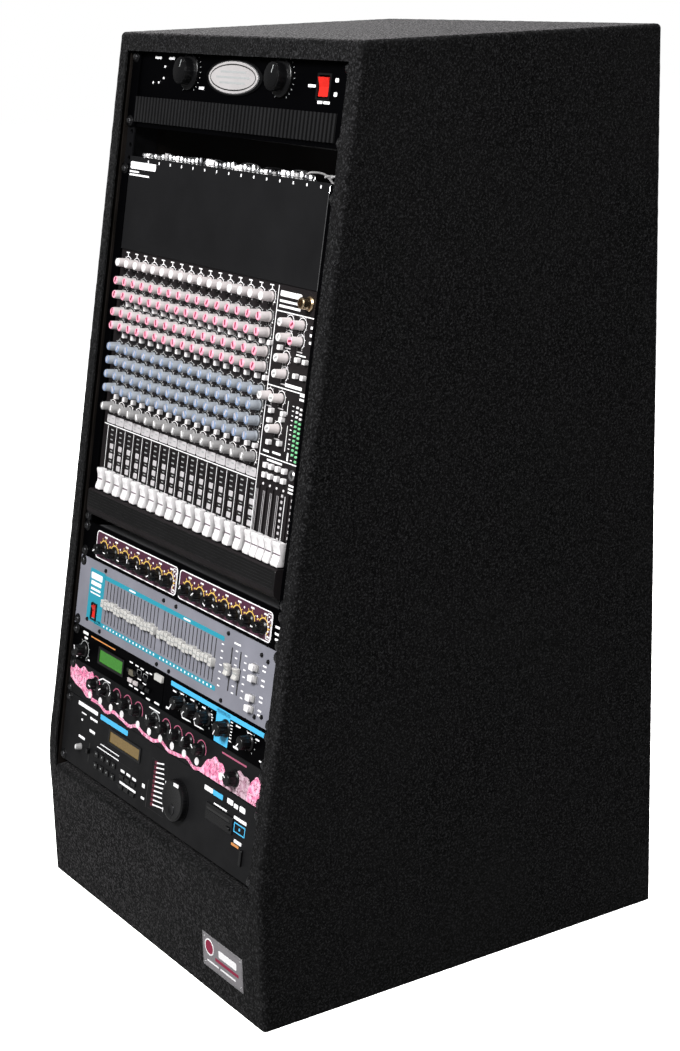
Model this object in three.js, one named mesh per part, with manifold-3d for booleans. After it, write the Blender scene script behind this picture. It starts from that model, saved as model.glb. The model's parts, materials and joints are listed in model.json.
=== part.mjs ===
// A slant-front studio rack case, twenty rack units tall, with its bolted-in audio units.
// Millimetres, +Z up. X runs across the case, the front faces -Y, and the origin is the middle
// of the footprint. The units live in one group that leans back with the slanted front.

import * as THREE from 'three';
import { mergeVertices } from 'three/addons/utils/BufferGeometryUtils.js';
import Module from 'manifold-3d';

// ---- driving dimensions ----

const caseWidth = 530;
const caseHeight = 1058;
const baseDepth = 560;
const topDepth = 394;
const kickHeight = 151;
const boardThickness = 18;
const carpetThickness = 3;
const gap = 0.3;

const rackUnit = 44.45;
const rackSpaces = 20;
const openingTop = 22;
const rackPlane = 5;
const panelHalfWidth = 241.3;
const panelTrim = 0.4;
const plateThickness = 3;
const railHoleX = 232.55;
const railHoleRadius = 3.4;
const railHoleOffsets = [6.35, 22.225, 38.1];
const railInnerX = 226.2;
const railDepth = 40;
const railSheet = 2;

const chassisHalfWidth = 218;
const chassisSheet = 1.5;

// ---- derived positions of the casework ----

const frontY = -baseDepth / 2;
const backY = baseDepth / 2;
const topFrontY = backY - topDepth;
const lean = Math.atan2(topFrontY - frontY, caseHeight - kickHeight);
const glued = carpetThickness + gap;
const boardOuterX = caseWidth / 2 - glued;
const boardInnerX = boardOuterX - boardThickness;
const bayHalfWidth = boardInnerX - gap;
const topBoardBottom = caseHeight - glued - boardThickness;
const faceBack = rackPlane + plateThickness;

// ---- materials ----

function finish(color, roughness, metalness = 0) {
  return new THREE.MeshStandardMaterial({ color, roughness, metalness });
}

const plywood = finish(0x9c7a4f, 0.8);
const carpet = finish(0x1d1d1f, 1);
const blackSteel = finish(0x151516, 0.5, 0.6);
const blackPaint = finish(0x1b1b1d, 0.45, 0.3);
const darkGrey = finish(0x3a3b3c, 0.5, 0.2);
const paleGrey = finish(0xb9bcc2, 0.5, 0.2);
const bareMetal = finish(0xb7b9bb, 0.35, 0.9);
const whitePlastic = finish(0xf1f0ee, 0.4);
const blackPlastic = finish(0x121212, 0.45);
const redPlastic = finish(0xc8321f, 0.35);

// ---- solids ----

const wasm = await Module();
wasm.setup();

function toSolid(geometry) {
  const bare = geometry.clone();
  bare.deleteAttribute('normal');
  bare.deleteAttribute('uv');
  const merged = mergeVertices(bare, 1e-4);
  const vertProperties = new Float32Array(merged.attributes.position.array);
  const triVerts = new Uint32Array(merged.index.array);
  return new wasm.Manifold(new wasm.Mesh({ numProp: 3, vertProperties, triVerts }));
}

function toGeometry(solid) {
  const mesh = solid.getMesh();
  const geometry = new THREE.BufferGeometry();
  geometry.setAttribute('position', new THREE.BufferAttribute(mesh.vertProperties, 3));
  geometry.setIndex(new THREE.BufferAttribute(mesh.triVerts, 1));
  geometry.computeVertexNormals();
  return geometry;
}

function cut(body, ...tools) {
  return toGeometry(tools.reduce((solid, tool) => solid.subtract(toSolid(tool)), toSolid(body)));
}

function join(first, ...others) {
  return toGeometry(others.reduce((solid, other) => solid.add(toSolid(other)), toSolid(first)));
}

// A block between two limits on each axis.
function block([x0, x1], [y0, y1], [z0, z1]) {
  const geometry = new THREE.BoxGeometry(x1 - x0, y1 - y0, z1 - z0);
  return geometry.translate((x0 + x1) / 2, (y0 + y1) / 2, (z0 + z1) / 2);
}

// An outline of [y, z] points carried across from x0 to x1.
function acrossX(outline, x0, x1) {
  const shape = new THREE.Shape(outline.map(([y, z]) => new THREE.Vector2(y, z)));
  const geometry = new THREE.ExtrudeGeometry(shape, { depth: x1 - x0, bevelEnabled: false });
  const cyclic = new THREE.Matrix4().makeBasis(
    new THREE.Vector3(0, 1, 0), new THREE.Vector3(0, 0, 1), new THREE.Vector3(1, 0, 0));
  return geometry.applyMatrix4(cyclic).translate(x0, 0, 0);
}

// An outline of [x, y] points carried up from z0 to z1.
function upZ(outline, z0, z1) {
  const shape = new THREE.Shape(outline.map(([x, y]) => new THREE.Vector2(x, y)));
  const geometry = new THREE.ExtrudeGeometry(shape, { depth: z1 - z0, bevelEnabled: false });
  return geometry.translate(0, 0, z0);
}

// A flat plate facing -Y whose outline and openings are drawn in X and Z.
function plate(shape, yFront, yBack) {
  const geometry = new THREE.ExtrudeGeometry(shape, { depth: yBack - yFront, bevelEnabled: false });
  return geometry.rotateX(Math.PI / 2).translate(0, yBack, 0);
}

function rectangle([x0, x1], [z0, z1]) {
  return new THREE.Shape([
    new THREE.Vector2(x0, z0), new THREE.Vector2(x1, z0),
    new THREE.Vector2(x1, z1), new THREE.Vector2(x0, z1)]);
}

function roundHole(x, z, radius, sides) {
  const corners = Array.from({ length: sides }, (_, i) => {
    const turn = (2 * Math.PI * i) / sides;
    return new THREE.Vector2(x + radius * Math.cos(turn), z + radius * Math.sin(turn));
  });
  return new THREE.Shape(corners);
}

// A turned solid about Y from [radius, y] points that start and end on the axis.
function turned(profile, segments) {
  return new THREE.LatheGeometry(profile.map(([r, y]) => new THREE.Vector2(r, y)), segments);
}

// ---- the two groups of the assembly ----

const assembly = new THREE.Group();
const slope = new THREE.Group();
slope.position.set(0, topFrontY, caseHeight);
slope.rotation.x = -lean;
assembly.add(slope);

function addPiece(group, name, geometry, material, x = 0, y = 0, z = 0) {
  const mesh = new THREE.Mesh(geometry, material);
  mesh.name = name;
  mesh.position.set(x, y, z);
  group.add(mesh);
  return mesh;
}

// ---- casework: boards, carpet and braces ----

function slantY(z, inset) {
  return topFrontY - (caseHeight - z) * Math.tan(lean) + inset / Math.cos(lean);
}

function kickCornerZ(inset) {
  const run = topFrontY - frontY - inset + inset / Math.cos(lean);
  return caseHeight - run / Math.tan(lean);
}

function sideOutline(inset, bottom) {
  const top = caseHeight - inset;
  return [
    [frontY + inset, bottom], [backY - inset, bottom], [backY - inset, top],
    [slantY(top, inset), top], [frontY + inset, kickCornerZ(inset)]];
}

function addSide(side, sign) {
  const span = (inner, outer) => (sign > 0 ? [inner, outer] : [-outer, -inner]);
  const board = acrossX(sideOutline(glued, 0), ...span(boardInnerX, boardOuterX));
  addPiece(assembly, `${side}_side_board`, board, plywood);

  // The carpet is a shallow cup over the outer face and all edges but the bottom one.
  const wrap = acrossX(sideOutline(0, 0), ...span(boardInnerX, caseWidth / 2));
  const inside = span(boardInnerX - 10, caseWidth / 2 - carpetThickness);
  const hollow = acrossX(sideOutline(carpetThickness, -10), ...inside);
  addPiece(assembly, `${side}_carpet`, cut(wrap, hollow), carpet);
}

function addTop() {
  const boardTop = caseHeight - glued;
  const board = [
    [backY - glued, topBoardBottom], [backY - glued, boardTop],
    [slantY(boardTop, glued), boardTop], [slantY(topBoardBottom, glued), topBoardBottom]];
  addPiece(assembly, 'top_board', acrossX(board, -bayHalfWidth, bayHalfWidth), plywood);

  const underCarpet = caseHeight - carpetThickness;
  const wrap = [
    [backY, underCarpet], [backY, caseHeight], [topFrontY, caseHeight],
    [slantY(topBoardBottom, 0), topBoardBottom],
    [slantY(topBoardBottom, carpetThickness), topBoardBottom],
    [slantY(underCarpet, carpetThickness), underCarpet]];
  addPiece(assembly, 'top_carpet', acrossX(wrap, -bayHalfWidth, bayHalfWidth), carpet);
}

const badge = { x: 177, z: 50, width: 90, height: 42, thickness: 1.5 };

function addBaseAndKick() {
  const across = [-bayHalfWidth, bayHalfWidth];
  addPiece(assembly, 'base_board',
    block(across, [frontY + glued, backY - glued], [0, boardThickness]), plywood);

  const kickBack = frontY + glued + boardThickness;
  const kickTop = kickHeight - glued;
  addPiece(assembly, 'kick_board',
    block(across, [frontY + glued, kickBack], [boardThickness + gap, kickTop]), plywood);

  const wrap = acrossX([
    [frontY, 0], [frontY + carpetThickness, 0],
    [frontY + carpetThickness, kickHeight - carpetThickness],
    [kickBack, kickHeight - carpetThickness], [kickBack, kickHeight], [frontY, kickHeight]],
  ...across);
  const badgeX = [badge.x - badge.width / 2, badge.x + badge.width / 2];
  const badgeZ = [badge.z - badge.height / 2, badge.z + badge.height / 2];
  const pocket = block(
    [badgeX[0] - gap, badgeX[1] + gap], [frontY - 1, frontY + carpetThickness + 1],
    [badgeZ[0] - gap, badgeZ[1] + gap]);
  addPiece(assembly, 'kick_carpet', cut(wrap, pocket), carpet);
  addPiece(assembly, 'badge_plate',
    block(badgeX, [frontY, frontY + badge.thickness], badgeZ), bareMetal);
}

const upperBraceHeight = 80;
const lowerBraceHeight = 130;

function addRearBraces() {
  const across = [-bayHalfWidth, bayHalfWidth];
  const depth = [backY - glued - boardThickness, backY - glued];
  const upperTop = topBoardBottom - gap;
  const upper = [upperTop - upperBraceHeight, upperTop];
  addPiece(assembly, 'rear_upper_brace', block(across, depth, upper), plywood);
  const lowerBottom = boardThickness + gap;
  const lower = [lowerBottom, lowerBottom + lowerBraceHeight];
  addPiece(assembly, 'rear_lower_brace', block(across, depth, lower), plywood);
}

// ---- rack rails and the parts every unit shares ----
// In the slope group X is across, -Y is out of the front and -Z is down the slope.

function addRail(side, sign) {
  const outer = boardInnerX - gap;
  const xs = sign > 0 ? [railInnerX, outer] : [-outer, -railInnerX];
  const zs = [-(openingTop + rackSpaces * rackUnit + 2), -(openingTop + panelTrim)];
  const front = faceBack + gap;
  const face = rectangle(xs, zs);
  for (let space = 0; space < rackSpaces; space += 1) {
    for (const offset of railHoleOffsets) {
      const z = -(openingTop + space * rackUnit + offset);
      face.holes.push(roundHole(sign * railHoleX, z, railHoleRadius, 6));
    }
  }
  const web = sign > 0 ? [outer - railSheet, outer] : [-outer, -outer + railSheet];
  const angle = join(plate(face, front, front + railSheet), block(web, [front, front + railDepth], zs));
  addPiece(slope, `${side}_rack_rail`, angle, blackSteel);
}

// The Z limits of a panel that fills some rack units, counted from the top of the opening.
function panelSpan(topUnit, units) {
  const top = -(openingTop + topUnit * rackUnit);
  return [top - units * rackUnit + panelTrim, top - panelTrim];
}

// A sheet-metal tray that is open at the front, where the face closes it.
function tray(xs, [y0, y1], zs) {
  const inner = ([low, high]) => [low + chassisSheet, high - chassisSheet];
  return cut(block(xs, [y0, y1], zs), block(inner(xs), [y0 - 5, y1 - chassisSheet], inner(zs)));
}

function addChassis(name, topUnit, units, front, depth, material = blackSteel) {
  const [bottom, top] = panelSpan(topUnit, units);
  const xs = [-chassisHalfWidth, chassisHalfWidth];
  addPiece(slope, name, tray(xs, [front, front + depth], [bottom + 2, top - 2]), material);
}

function addFaceplate(name, topUnit, units, openings, material) {
  const across = [-panelHalfWidth, panelHalfWidth];
  const face = block(across, [rackPlane, faceBack], panelSpan(topUnit, units));
  addPiece(slope, name, cut(face, ...openings), material);
}

const shaftRadius = 3;

// Cutters for the openings of a face whose front is at faceY.
function slot(x, down, halfWidth, halfLength, faceY) {
  const zs = [-down - halfLength, -down + halfLength];
  return block([x - halfWidth, x + halfWidth], throughFace(faceY), zs);
}

function shaftHole(x, down, faceY) {
  return plate(roundHole(x, -down, shaftRadius + 0.6, 10), ...throughFace(faceY));
}

function throughFace(faceY) {
  return [faceY - 1, faceY + plateThickness + 1];
}

// A two-way rocker seen end on: a shallow V at the front, narrowing towards its pivot.
const rockerTilt = THREE.MathUtils.degToRad(8);
const rockerPivotDepth = 4;

function addRocker(name, x, face, down, width, height) {
  const half = height / 2;
  const outline = [
    [-5.5, -half], [-3.7, 0], [-5.5, half], [-1, half], [4, half * 0.6], [4, -half * 0.6],
    [-1, -half]].reverse();
  const geometry = acrossX(outline, -width / 2, width / 2);
  const rocker = addPiece(slope, name, geometry, redPlastic, x, face + rockerPivotDepth, -down);
  rocker.rotation.x = rockerTilt;
}

function rockerOpening(x, down, width, height, faceY) {
  return slot(x, down, width / 2 + 0.6, height / 2 + 1.2, faceY);
}

// A sliding control: a cap with a finger dip across its middle, on a thin stem.
function sliderCap(width, length, height, stemDepth) {
  const half = length / 2;
  const lift = 0.8;
  const outline = [
    [-lift, -half], [-lift, half], [-height * 0.85, half * 0.88], [-height, half * 0.66],
    [-height * 0.78, 0], [-height, -half * 0.66], [-height * 0.85, -half * 0.88]];
  const cap = acrossX(outline, -width / 2, width / 2);
  const stem = block([-0.7, 0.7], [-height / 2, stemDepth], [-2.5, 2.5]);
  return join(cap, stem);
}

// ---- power amplifier, spaces 0 to 2 ----

const amp = {
  dishHalfWidth: 222, dishDepth: 3, knobX: 102, knobDown: 42, skirtRadius: 21, knobRadius: 15.5,
  knobHeight: 16, rockerX: 186, rockerDown: 48, rockerSize: 20, finTop: 75, finBottom: 105,
  finCount: 58, finHeight: 3.2, finRoot: 1, chassisDepth: 270,
};

function addAmplifier() {
  const dish = rackPlane + amp.dishDepth;
  const inner = amp.dishHalfWidth;
  const outer = inner + plateThickness;
  const section = [
    [-panelHalfWidth, rackPlane], [-inner, rackPlane], [-inner, dish], [inner, dish],
    [inner, rackPlane], [panelHalfWidth, rackPlane], [panelHalfWidth, faceBack],
    [outer, faceBack], [outer, dish + plateThickness], [-outer, dish + plateThickness],
    [-outer, faceBack], [-panelHalfWidth, faceBack]];
  const openings = [
    shaftHole(-amp.knobX, amp.knobDown, dish), shaftHole(amp.knobX, amp.knobDown, dish),
    rockerOpening(amp.rockerX, amp.rockerDown, amp.rockerSize, amp.rockerSize, dish)];
  addPiece(slope, 'amp_faceplate', cut(upZ(section, ...panelSpan(0, 2)), ...openings), blackPaint);
  addChassis('amp_chassis', 0, 2, dish + plateThickness + gap, amp.chassisDepth);
  addPiece(slope, 'amp_fin_block', finBlock(inner - 1, dish - gap), blackPaint);

  const r = amp.knobRadius;
  const h = amp.knobHeight;
  const knob = turned([
    [0, -h], [r - 1.5, -h], [r - 0.5, -h + 1], [r, -5], [amp.skirtRadius, -3.5],
    [amp.skirtRadius, -0.5], [shaftRadius, -0.5], [shaftRadius, 6], [0, 6]], 24);
  addPiece(slope, 'amp_left_knob', knob, blackPlastic, -amp.knobX, dish, -amp.knobDown);
  addPiece(slope, 'amp_right_knob', knob, blackPlastic, amp.knobX, dish, -amp.knobDown);
  addRocker('amp_power_rocker', amp.rockerX, dish, amp.rockerDown, amp.rockerSize, amp.rockerSize);
}

// Upright cooling fins on one backing strip.
function finBlock(halfWidth, back) {
  const pitch = (2 * halfWidth) / (amp.finCount - 0.5);
  const root = back - amp.finRoot;
  const outline = [[halfWidth, back], [-halfWidth, back]];
  for (let fin = 0; fin < amp.finCount; fin += 1) {
    const x = -halfWidth + fin * pitch;
    const tipEdge = Math.min(x + pitch / 2, halfWidth);
    outline.push([x, root - amp.finHeight], [tipEdge, root - amp.finHeight]);
    if (fin < amp.finCount - 1) {
      outline.push([tipEdge, root], [x + pitch, root]);
    }
  }
  return upZ(outline.reverse(), -amp.finBottom, -amp.finTop);
}

// ---- sixteen-channel mixer, spaces 3 to 13 ----

const mixer = {
  halfWidth: 224, face: rackPlane + 3, top: 146, podBottom: 258, bottom: 590,
  podFront: rackPlane + 1, chassisDepth: 62, earSheet: 1.5,
  faderLow: 541, faderTravel: 60, slotHalfWidth: 1.3,
  firstChannelX: -205.75, channelPitch: 22.5, channelCount: 16,
  firstSubX: 153.6, subPitch: 14.3, subCount: 4, mainX: 214.2,
};

function mixerFaders() {
  const faders = [];
  for (let i = 0; i < mixer.channelCount; i += 1) {
    const number = String(i + 1).padStart(2, '0');
    const x = mixer.firstChannelX + i * mixer.channelPitch;
    faders.push({ name: `channel_fader_${number}`, x, width: 12 });
  }
  for (let i = 0; i < mixer.subCount; i += 1) {
    const x = mixer.firstSubX + i * mixer.subPitch;
    faders.push({ name: `sub_fader_${i + 1}`, x, width: 12 });
  }
  faders.push({ name: 'main_fader', x: mixer.mainX, width: 15 });
  return faders;
}

function addMixer() {
  const xs = [-mixer.halfWidth, mixer.halfWidth];
  const back = mixer.face + plateThickness;
  const face = block(xs, [mixer.face, back], [-mixer.bottom, -mixer.podBottom]);
  const slotMiddle = mixer.faderLow - mixer.faderTravel / 2;
  const slots = mixerFaders().map((fader) => slot(
    fader.x, slotMiddle, mixer.slotHalfWidth, mixer.faderTravel / 2 + 3.5, mixer.face));
  addPiece(slope, 'mixer_panel', cut(join(face, wristBar()), ...slots), darkGrey);

  const podZ = [-mixer.podBottom + gap, -mixer.top];
  const pod = cut(
    block(xs, [mixer.podFront, back], podZ),
    block([xs[0] + 3, xs[1] - 3], [mixer.podFront + 3, back + 5], [podZ[0] + 3, podZ[1] - 3]));
  addPiece(slope, 'mixer_jack_pod', pod, darkGrey);

  const chassisZ = [-mixer.bottom + 1, -mixer.top - 1];
  const chassisY = [back + gap, back + gap + mixer.chassisDepth];
  addPiece(slope, 'mixer_chassis', tray(xs, chassisY, chassisZ), blackSteel);
  addMixerEar('left', -1);
  addMixerEar('right', 1);

  for (const fader of mixerFaders()) {
    const cap = sliderCap(fader.width, 25, 12, plateThickness + 5);
    addPiece(slope, fader.name, cap, whitePlastic, fader.x, mixer.face, -mixer.faderLow);
  }
}

// The rounded bar along the mixer's lower edge, in front of the fader caps.
function wristBar() {
  const front = mixer.face - 12;
  const back = mixer.face + plateThickness;
  const radius = 10;
  const low = -mixer.bottom;
  const high = low + 34;
  const outline = [[back, low], [back, high], [front + 2, high], [front, high - 2]];
  for (let step = 0; step <= 4; step += 1) {
    const turn = (Math.PI / 2) * (step / 4);
    outline.push([
      front + radius - radius * Math.cos(turn), low + radius - radius * Math.sin(turn)]);
  }
  return acrossX(outline.reverse(), -mixer.halfWidth, mixer.halfWidth);
}

// An angle bracket that carries one side of the mixer on the rail.
function addMixerEar(side, sign) {
  const inner = mixer.halfWidth + gap;
  const span = (a, b) => (sign > 0 ? [a, b] : [-b, -a]);
  const zs = panelSpan(3, 10);
  const leaf = block(span(inner, panelHalfWidth), [rackPlane, faceBack], zs);
  const flange = block(span(inner, inner + mixer.earSheet), [rackPlane, rackPlane + 50], zs);
  addPiece(slope, `mixer_${side}_ear`, join(leaf, flange), blackPaint);
}

// ---- dual compressor, space 13, and graphic equaliser, spaces 14 to 16 ----

const equalizer = {
  sliderX: [141, 160], sliderDown: 689, sliderTravel: 40,
  rockerX: -193, rockerDown: 707, rockerWidth: 9, rockerHeight: 15, chassisDepth: 200,
};

const compressorDepth = 180;

function addCompressor() {
  addFaceplate('compressor_faceplate', 13, 1, [], blackPaint);
  addChassis('compressor_chassis', 13, 1, faceBack + gap, compressorDepth);
}

function addEqualizer() {
  const { sliderX, sliderDown, sliderTravel, rockerX, rockerDown } = equalizer;
  const openings = sliderX.map((x) => slot(x, sliderDown, 1.3, sliderTravel / 2 + 4, rackPlane));
  openings.push(rockerOpening(
    rockerX, rockerDown, equalizer.rockerWidth, equalizer.rockerHeight, rackPlane));
  addFaceplate('equalizer_faceplate', 14, 2, openings, paleGrey);
  addChassis('equalizer_chassis', 14, 2, faceBack + gap, equalizer.chassisDepth);
  const names = ['equalizer_left_slider', 'equalizer_right_slider'];
  names.forEach((name, i) => {
    const cap = sliderCap(9, 13, 9, plateThickness + 4);
    addPiece(slope, name, cap, paleGrey, sliderX[i], rackPlane, -sliderDown);
  });
  addRocker('equalizer_power_rocker', rockerX, rackPlane, rockerDown,
    equalizer.rockerWidth, equalizer.rockerHeight);
}

// ---- two half-width effects units, space 16, and preamplifier, space 17 ----

const effectsDepth = 150;
const preampDepth = 190;

function addEffectsUnit(side, sign) {
  const span = (a, b) => (sign > 0 ? [a, b] : [-b, -a]);
  const [bottom, top] = panelSpan(16, 1);
  const face = block(span(0.6, panelHalfWidth), [rackPlane, faceBack], [bottom, top]);
  const boxX = span(4, chassisHalfWidth);
  const boxY = [faceBack - 1, faceBack + effectsDepth];
  const body = tray(boxX, boxY, [bottom + 2, top - 2]);
  const unit = join(face, withOpenBack(body, boxX, bottom, top));
  addPiece(slope, `${side}_effects_unit`, unit, blackPaint);
}

// The effects units are closed by their own face, so their box is open at the rear instead.
function withOpenBack(body, boxX, bottom, top) {
  const back = faceBack + effectsDepth;
  const vent = block([boxX[0] + 20, boxX[1] - 20], [back - 10, back + 10], [bottom + 8, top - 8]);
  return cut(body, vent);
}

function addPreamp() {
  addFaceplate('preamp_faceplate', 17, 1, [], darkGrey);
  addChassis('preamp_chassis', 17, 1, faceBack + gap, preampDepth);
}

// ---- sampler, spaces 18 to 20 ----

const wheel = { x: 62, down: 868, radius: 25, height: 9 };
const samplerDepth = 230;

function addSampler() {
  addFaceplate('sampler_faceplate', 18, 2, [shaftHole(wheel.x, wheel.down, rackPlane)], darkGrey);
  addChassis('sampler_chassis', 18, 2, faceBack + gap, samplerDepth);
  const r = wheel.radius;
  const h = wheel.height;
  const disc = turned([
    [0, -h], [r - 2.5, -h], [r - 0.7, -h + 0.9], [r, -h + 2.8], [r, -0.5],
    [shaftRadius, -0.5], [shaftRadius, 6], [0, 6]], 32);
  addPiece(slope, 'data_wheel', disc, blackPlastic, wheel.x, rackPlane, -wheel.down);
}

addSide('left', -1);
addSide('right', 1);
addTop();
addBaseAndKick();
addRearBraces();
addRail('left', -1);
addRail('right', 1);
addAmplifier();
addMixer();
addCompressor();
addEqualizer();
addEffectsUnit('left', -1);
addEffectsUnit('right', 1);
addPreamp();
addSampler();

export default assembly;
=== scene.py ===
"""The looks of a slant-front studio rack case and its audio units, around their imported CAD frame.

Sizes are in millimetres until a piece is made, and then in metres like the frame.
"""
import json
import math
import random

import bmesh
import bpy
from mathutils import Matrix, Vector, noise
from mathutils.geometry import tessellate_polygon


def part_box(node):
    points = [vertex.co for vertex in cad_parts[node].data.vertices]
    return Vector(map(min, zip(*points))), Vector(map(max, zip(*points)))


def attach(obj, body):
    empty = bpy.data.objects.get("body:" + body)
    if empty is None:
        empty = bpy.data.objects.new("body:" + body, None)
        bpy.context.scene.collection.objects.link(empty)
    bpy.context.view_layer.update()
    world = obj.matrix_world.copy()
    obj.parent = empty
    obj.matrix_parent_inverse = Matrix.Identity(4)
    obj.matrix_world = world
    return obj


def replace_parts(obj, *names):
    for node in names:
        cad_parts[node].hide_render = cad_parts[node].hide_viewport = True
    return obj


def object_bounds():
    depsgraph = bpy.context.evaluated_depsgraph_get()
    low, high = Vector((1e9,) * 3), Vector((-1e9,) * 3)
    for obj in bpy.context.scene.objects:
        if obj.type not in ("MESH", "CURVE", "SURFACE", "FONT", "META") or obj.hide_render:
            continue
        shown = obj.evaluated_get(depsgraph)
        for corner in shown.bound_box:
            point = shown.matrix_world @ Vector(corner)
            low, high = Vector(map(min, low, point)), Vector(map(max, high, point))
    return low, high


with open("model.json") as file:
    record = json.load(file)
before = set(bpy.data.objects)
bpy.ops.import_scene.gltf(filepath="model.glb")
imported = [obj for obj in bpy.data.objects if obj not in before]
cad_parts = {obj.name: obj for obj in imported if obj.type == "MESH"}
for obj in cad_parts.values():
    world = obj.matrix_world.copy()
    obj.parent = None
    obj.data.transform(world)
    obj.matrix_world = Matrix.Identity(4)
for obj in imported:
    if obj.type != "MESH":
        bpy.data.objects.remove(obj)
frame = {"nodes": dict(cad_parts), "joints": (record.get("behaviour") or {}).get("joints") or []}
cad_low, cad_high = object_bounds()

MM = 0.001
TAU = 2 * math.pi


# ---- materials ----

class Graph:
    """A short way to write a material's nodes."""

    def __init__(self, name):
        self.material = bpy.data.materials.new(name)
        self.material.use_nodes = True
        self.tree = self.material.node_tree
        self.surface = self.tree.nodes["Principled BSDF"]
        self.place = self.tree.nodes.new("ShaderNodeTexCoord").outputs["Object"]

    def node(self, kind, inputs=(), **settings):
        made = self.tree.nodes.new(kind)
        for key, value in settings.items():
            setattr(made, key, value)
        for key, value in dict(inputs).items():
            self.feed(made.inputs[key], value)
        return made

    def feed(self, socket, value):
        if isinstance(value, bpy.types.NodeSocket):
            self.tree.links.new(value, socket)
        else:
            socket.default_value = value

    def set(self, **values):
        for key, value in values.items():
            self.feed(self.surface.inputs[key.replace("_", " ")], value)

    def noise(self, size, detail=2.0, stretch=(1, 1, 1), roughness=0.5):
        """Noise whose patches are about size millimetres across."""
        scale = tuple(factor / (size * MM) for factor in stretch)
        mapped = self.node("ShaderNodeMapping", {"Vector": self.place, "Scale": scale})
        made = self.node("ShaderNodeTexNoise", {
            "Vector": mapped.outputs[0], "Scale": 1.0, "Detail": detail, "Roughness": roughness})
        return made.outputs["Fac"]

    def spread(self, value, low, high, start=0.3, end=0.7):
        """Carries a 0 to 1 value from start..end to low..high."""
        made = self.node("ShaderNodeMapRange", {
            "Value": value, "From Min": start, "From Max": end, "To Min": low, "To Max": high})
        return made.outputs[0]

    def mix(self, share, first, second):
        """Blends two colours. The mix node's colour sockets share names, so they go by number."""
        factor, color_a, color_b, color_result = 0, 6, 7, 2
        made = self.node("ShaderNodeMix", data_type="RGBA")
        for socket, value in ((factor, share), (color_a, first), (color_b, second)):
            self.feed(made.inputs[socket], value)
        return made.outputs[color_result]

    def bump(self, height, strength, distance):
        """Bump of about distance millimetres."""
        made = self.node("ShaderNodeBump", {
            "Height": height, "Strength": strength, "Distance": distance * MM})
        self.feed(self.surface.inputs["Normal"], made.outputs[0])


def rgb(red, green, blue):
    return (red, green, blue, 1.0)


def shade(color, factor):
    return rgb(*(min(1.0, channel * factor) for channel in color[:3]))


def carpet_material():
    """Short needled carpet: dark felted fibres with paler ones, and a painted sheen pale at glancing
    views.
    """
    g = Graph("carpet")
    tufts = g.noise(7.0, detail=2)
    fibres = g.noise(2.6, detail=2, roughness=0.7)
    wear = g.noise(160, detail=3)
    base = g.mix(g.spread(tufts, 0, 1, 0.35, 0.65), CARPET_DARK, CARPET_MID)
    pale_fibres = g.spread(fibres, 0, 1, 0.5, 0.66)
    flecked = g.mix(pale_fibres, base, CARPET_FLECK)
    dusty = g.mix(g.spread(wear, 0, 0.3), flecked, CARPET_DUST)
    # Painted sheen: towards glancing views the colour turns to a pale fibre pattern, as if the fibre
    # tips caught the light.
    glancing = g.node("ShaderNodeLayerWeight", {"Blend": 0.5}).outputs["Facing"]
    glancing_sheen = g.mix(g.spread(fibres, 0, 1, 0.46, 0.64), CARPET_SHEEN_DARK, CARPET_SHEEN_PALE)
    color = g.mix(g.spread(glancing, 0, 1, 0.55, 0.95), dusty, glancing_sheen)
    g.set(Base_Color=color, Roughness=0.96, Sheen_Weight=0.02, Sheen_Roughness=0.5)
    g.set(Specular_IOR_Level=0.03)
    g.bump(fibres, 0.8, 1.4)
    return g.material


CARPET_DARK = rgb(0.0012, 0.0012, 0.0013)
CARPET_MID = rgb(0.0050, 0.0050, 0.0052)
CARPET_FLECK = rgb(0.024, 0.024, 0.025)
CARPET_DUST = rgb(0.010, 0.010, 0.010)
# The two colours of the painted sheen at glancing views.
CARPET_SHEEN_DARK = rgb(0.003, 0.003, 0.003)
CARPET_SHEEN_PALE = rgb(0.125, 0.118, 0.122)


def stained_plywood():
    g = Graph("stained_plywood")
    grain = g.noise(2.2, detail=4, stretch=(1, 0.06, 0.06))
    patches = g.noise(90, detail=3)
    color = g.mix(g.spread(grain, 0, 1), rgb(0.003, 0.0025, 0.002), rgb(0.008, 0.006, 0.005))
    color = g.mix(g.spread(patches, 0, 0.5), color, rgb(0.005, 0.004, 0.0035))
    g.set(Base_Color=color, Roughness=g.spread(grain, 0.6, 0.85), Specular_IOR_Level=0.08)
    g.bump(grain, 0.5, 0.3)
    return g.material


def painted(name, color, roughness=0.45, shine=0.5, texture=0.25):
    """Sprayed metal: fine orange peel, a little dust and uneven gloss."""
    g = Graph(name)
    cloud = g.noise(60, detail=4)
    peel = g.noise(0.6, detail=2)
    tone = g.mix(g.spread(cloud, 0, 1), shade(color, 0.88), shade(color, 1.14))
    g.set(Base_Color=tone, Specular_IOR_Level=shine)
    smudge = g.noise(24, detail=5, roughness=0.65)
    g.set(Roughness=g.spread(smudge, roughness - 0.07, roughness + 0.08))
    g.bump(peel, texture, 0.12)
    return g.material


def moulded(name, color, roughness=0.4, shine=0.5):
    """Moulded plastic with a fine spark-eroded grain."""
    g = Graph(name)
    cloud = g.noise(14, detail=2)
    grain = g.noise(0.35, detail=1)
    tone = g.mix(g.spread(cloud, 0, 1), shade(color, 0.93), shade(color, 1.05))
    g.set(Specular_IOR_Level=shine)
    g.set(Base_Color=tone, Roughness=g.spread(grain, roughness - 0.05, roughness + 0.07))
    g.bump(grain, 0.15, 0.05)
    return g.material


def printed(name, color):
    """Screen-printed ink, slightly uneven in cover."""
    g = Graph(name)
    cover = g.noise(1.1, detail=2)
    tone = g.mix(g.spread(cover, 0, 1), shade(color, 0.86), color)
    g.set(Base_Color=tone, Roughness=g.spread(cover, 0.55, 0.67))
    return g.material


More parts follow.
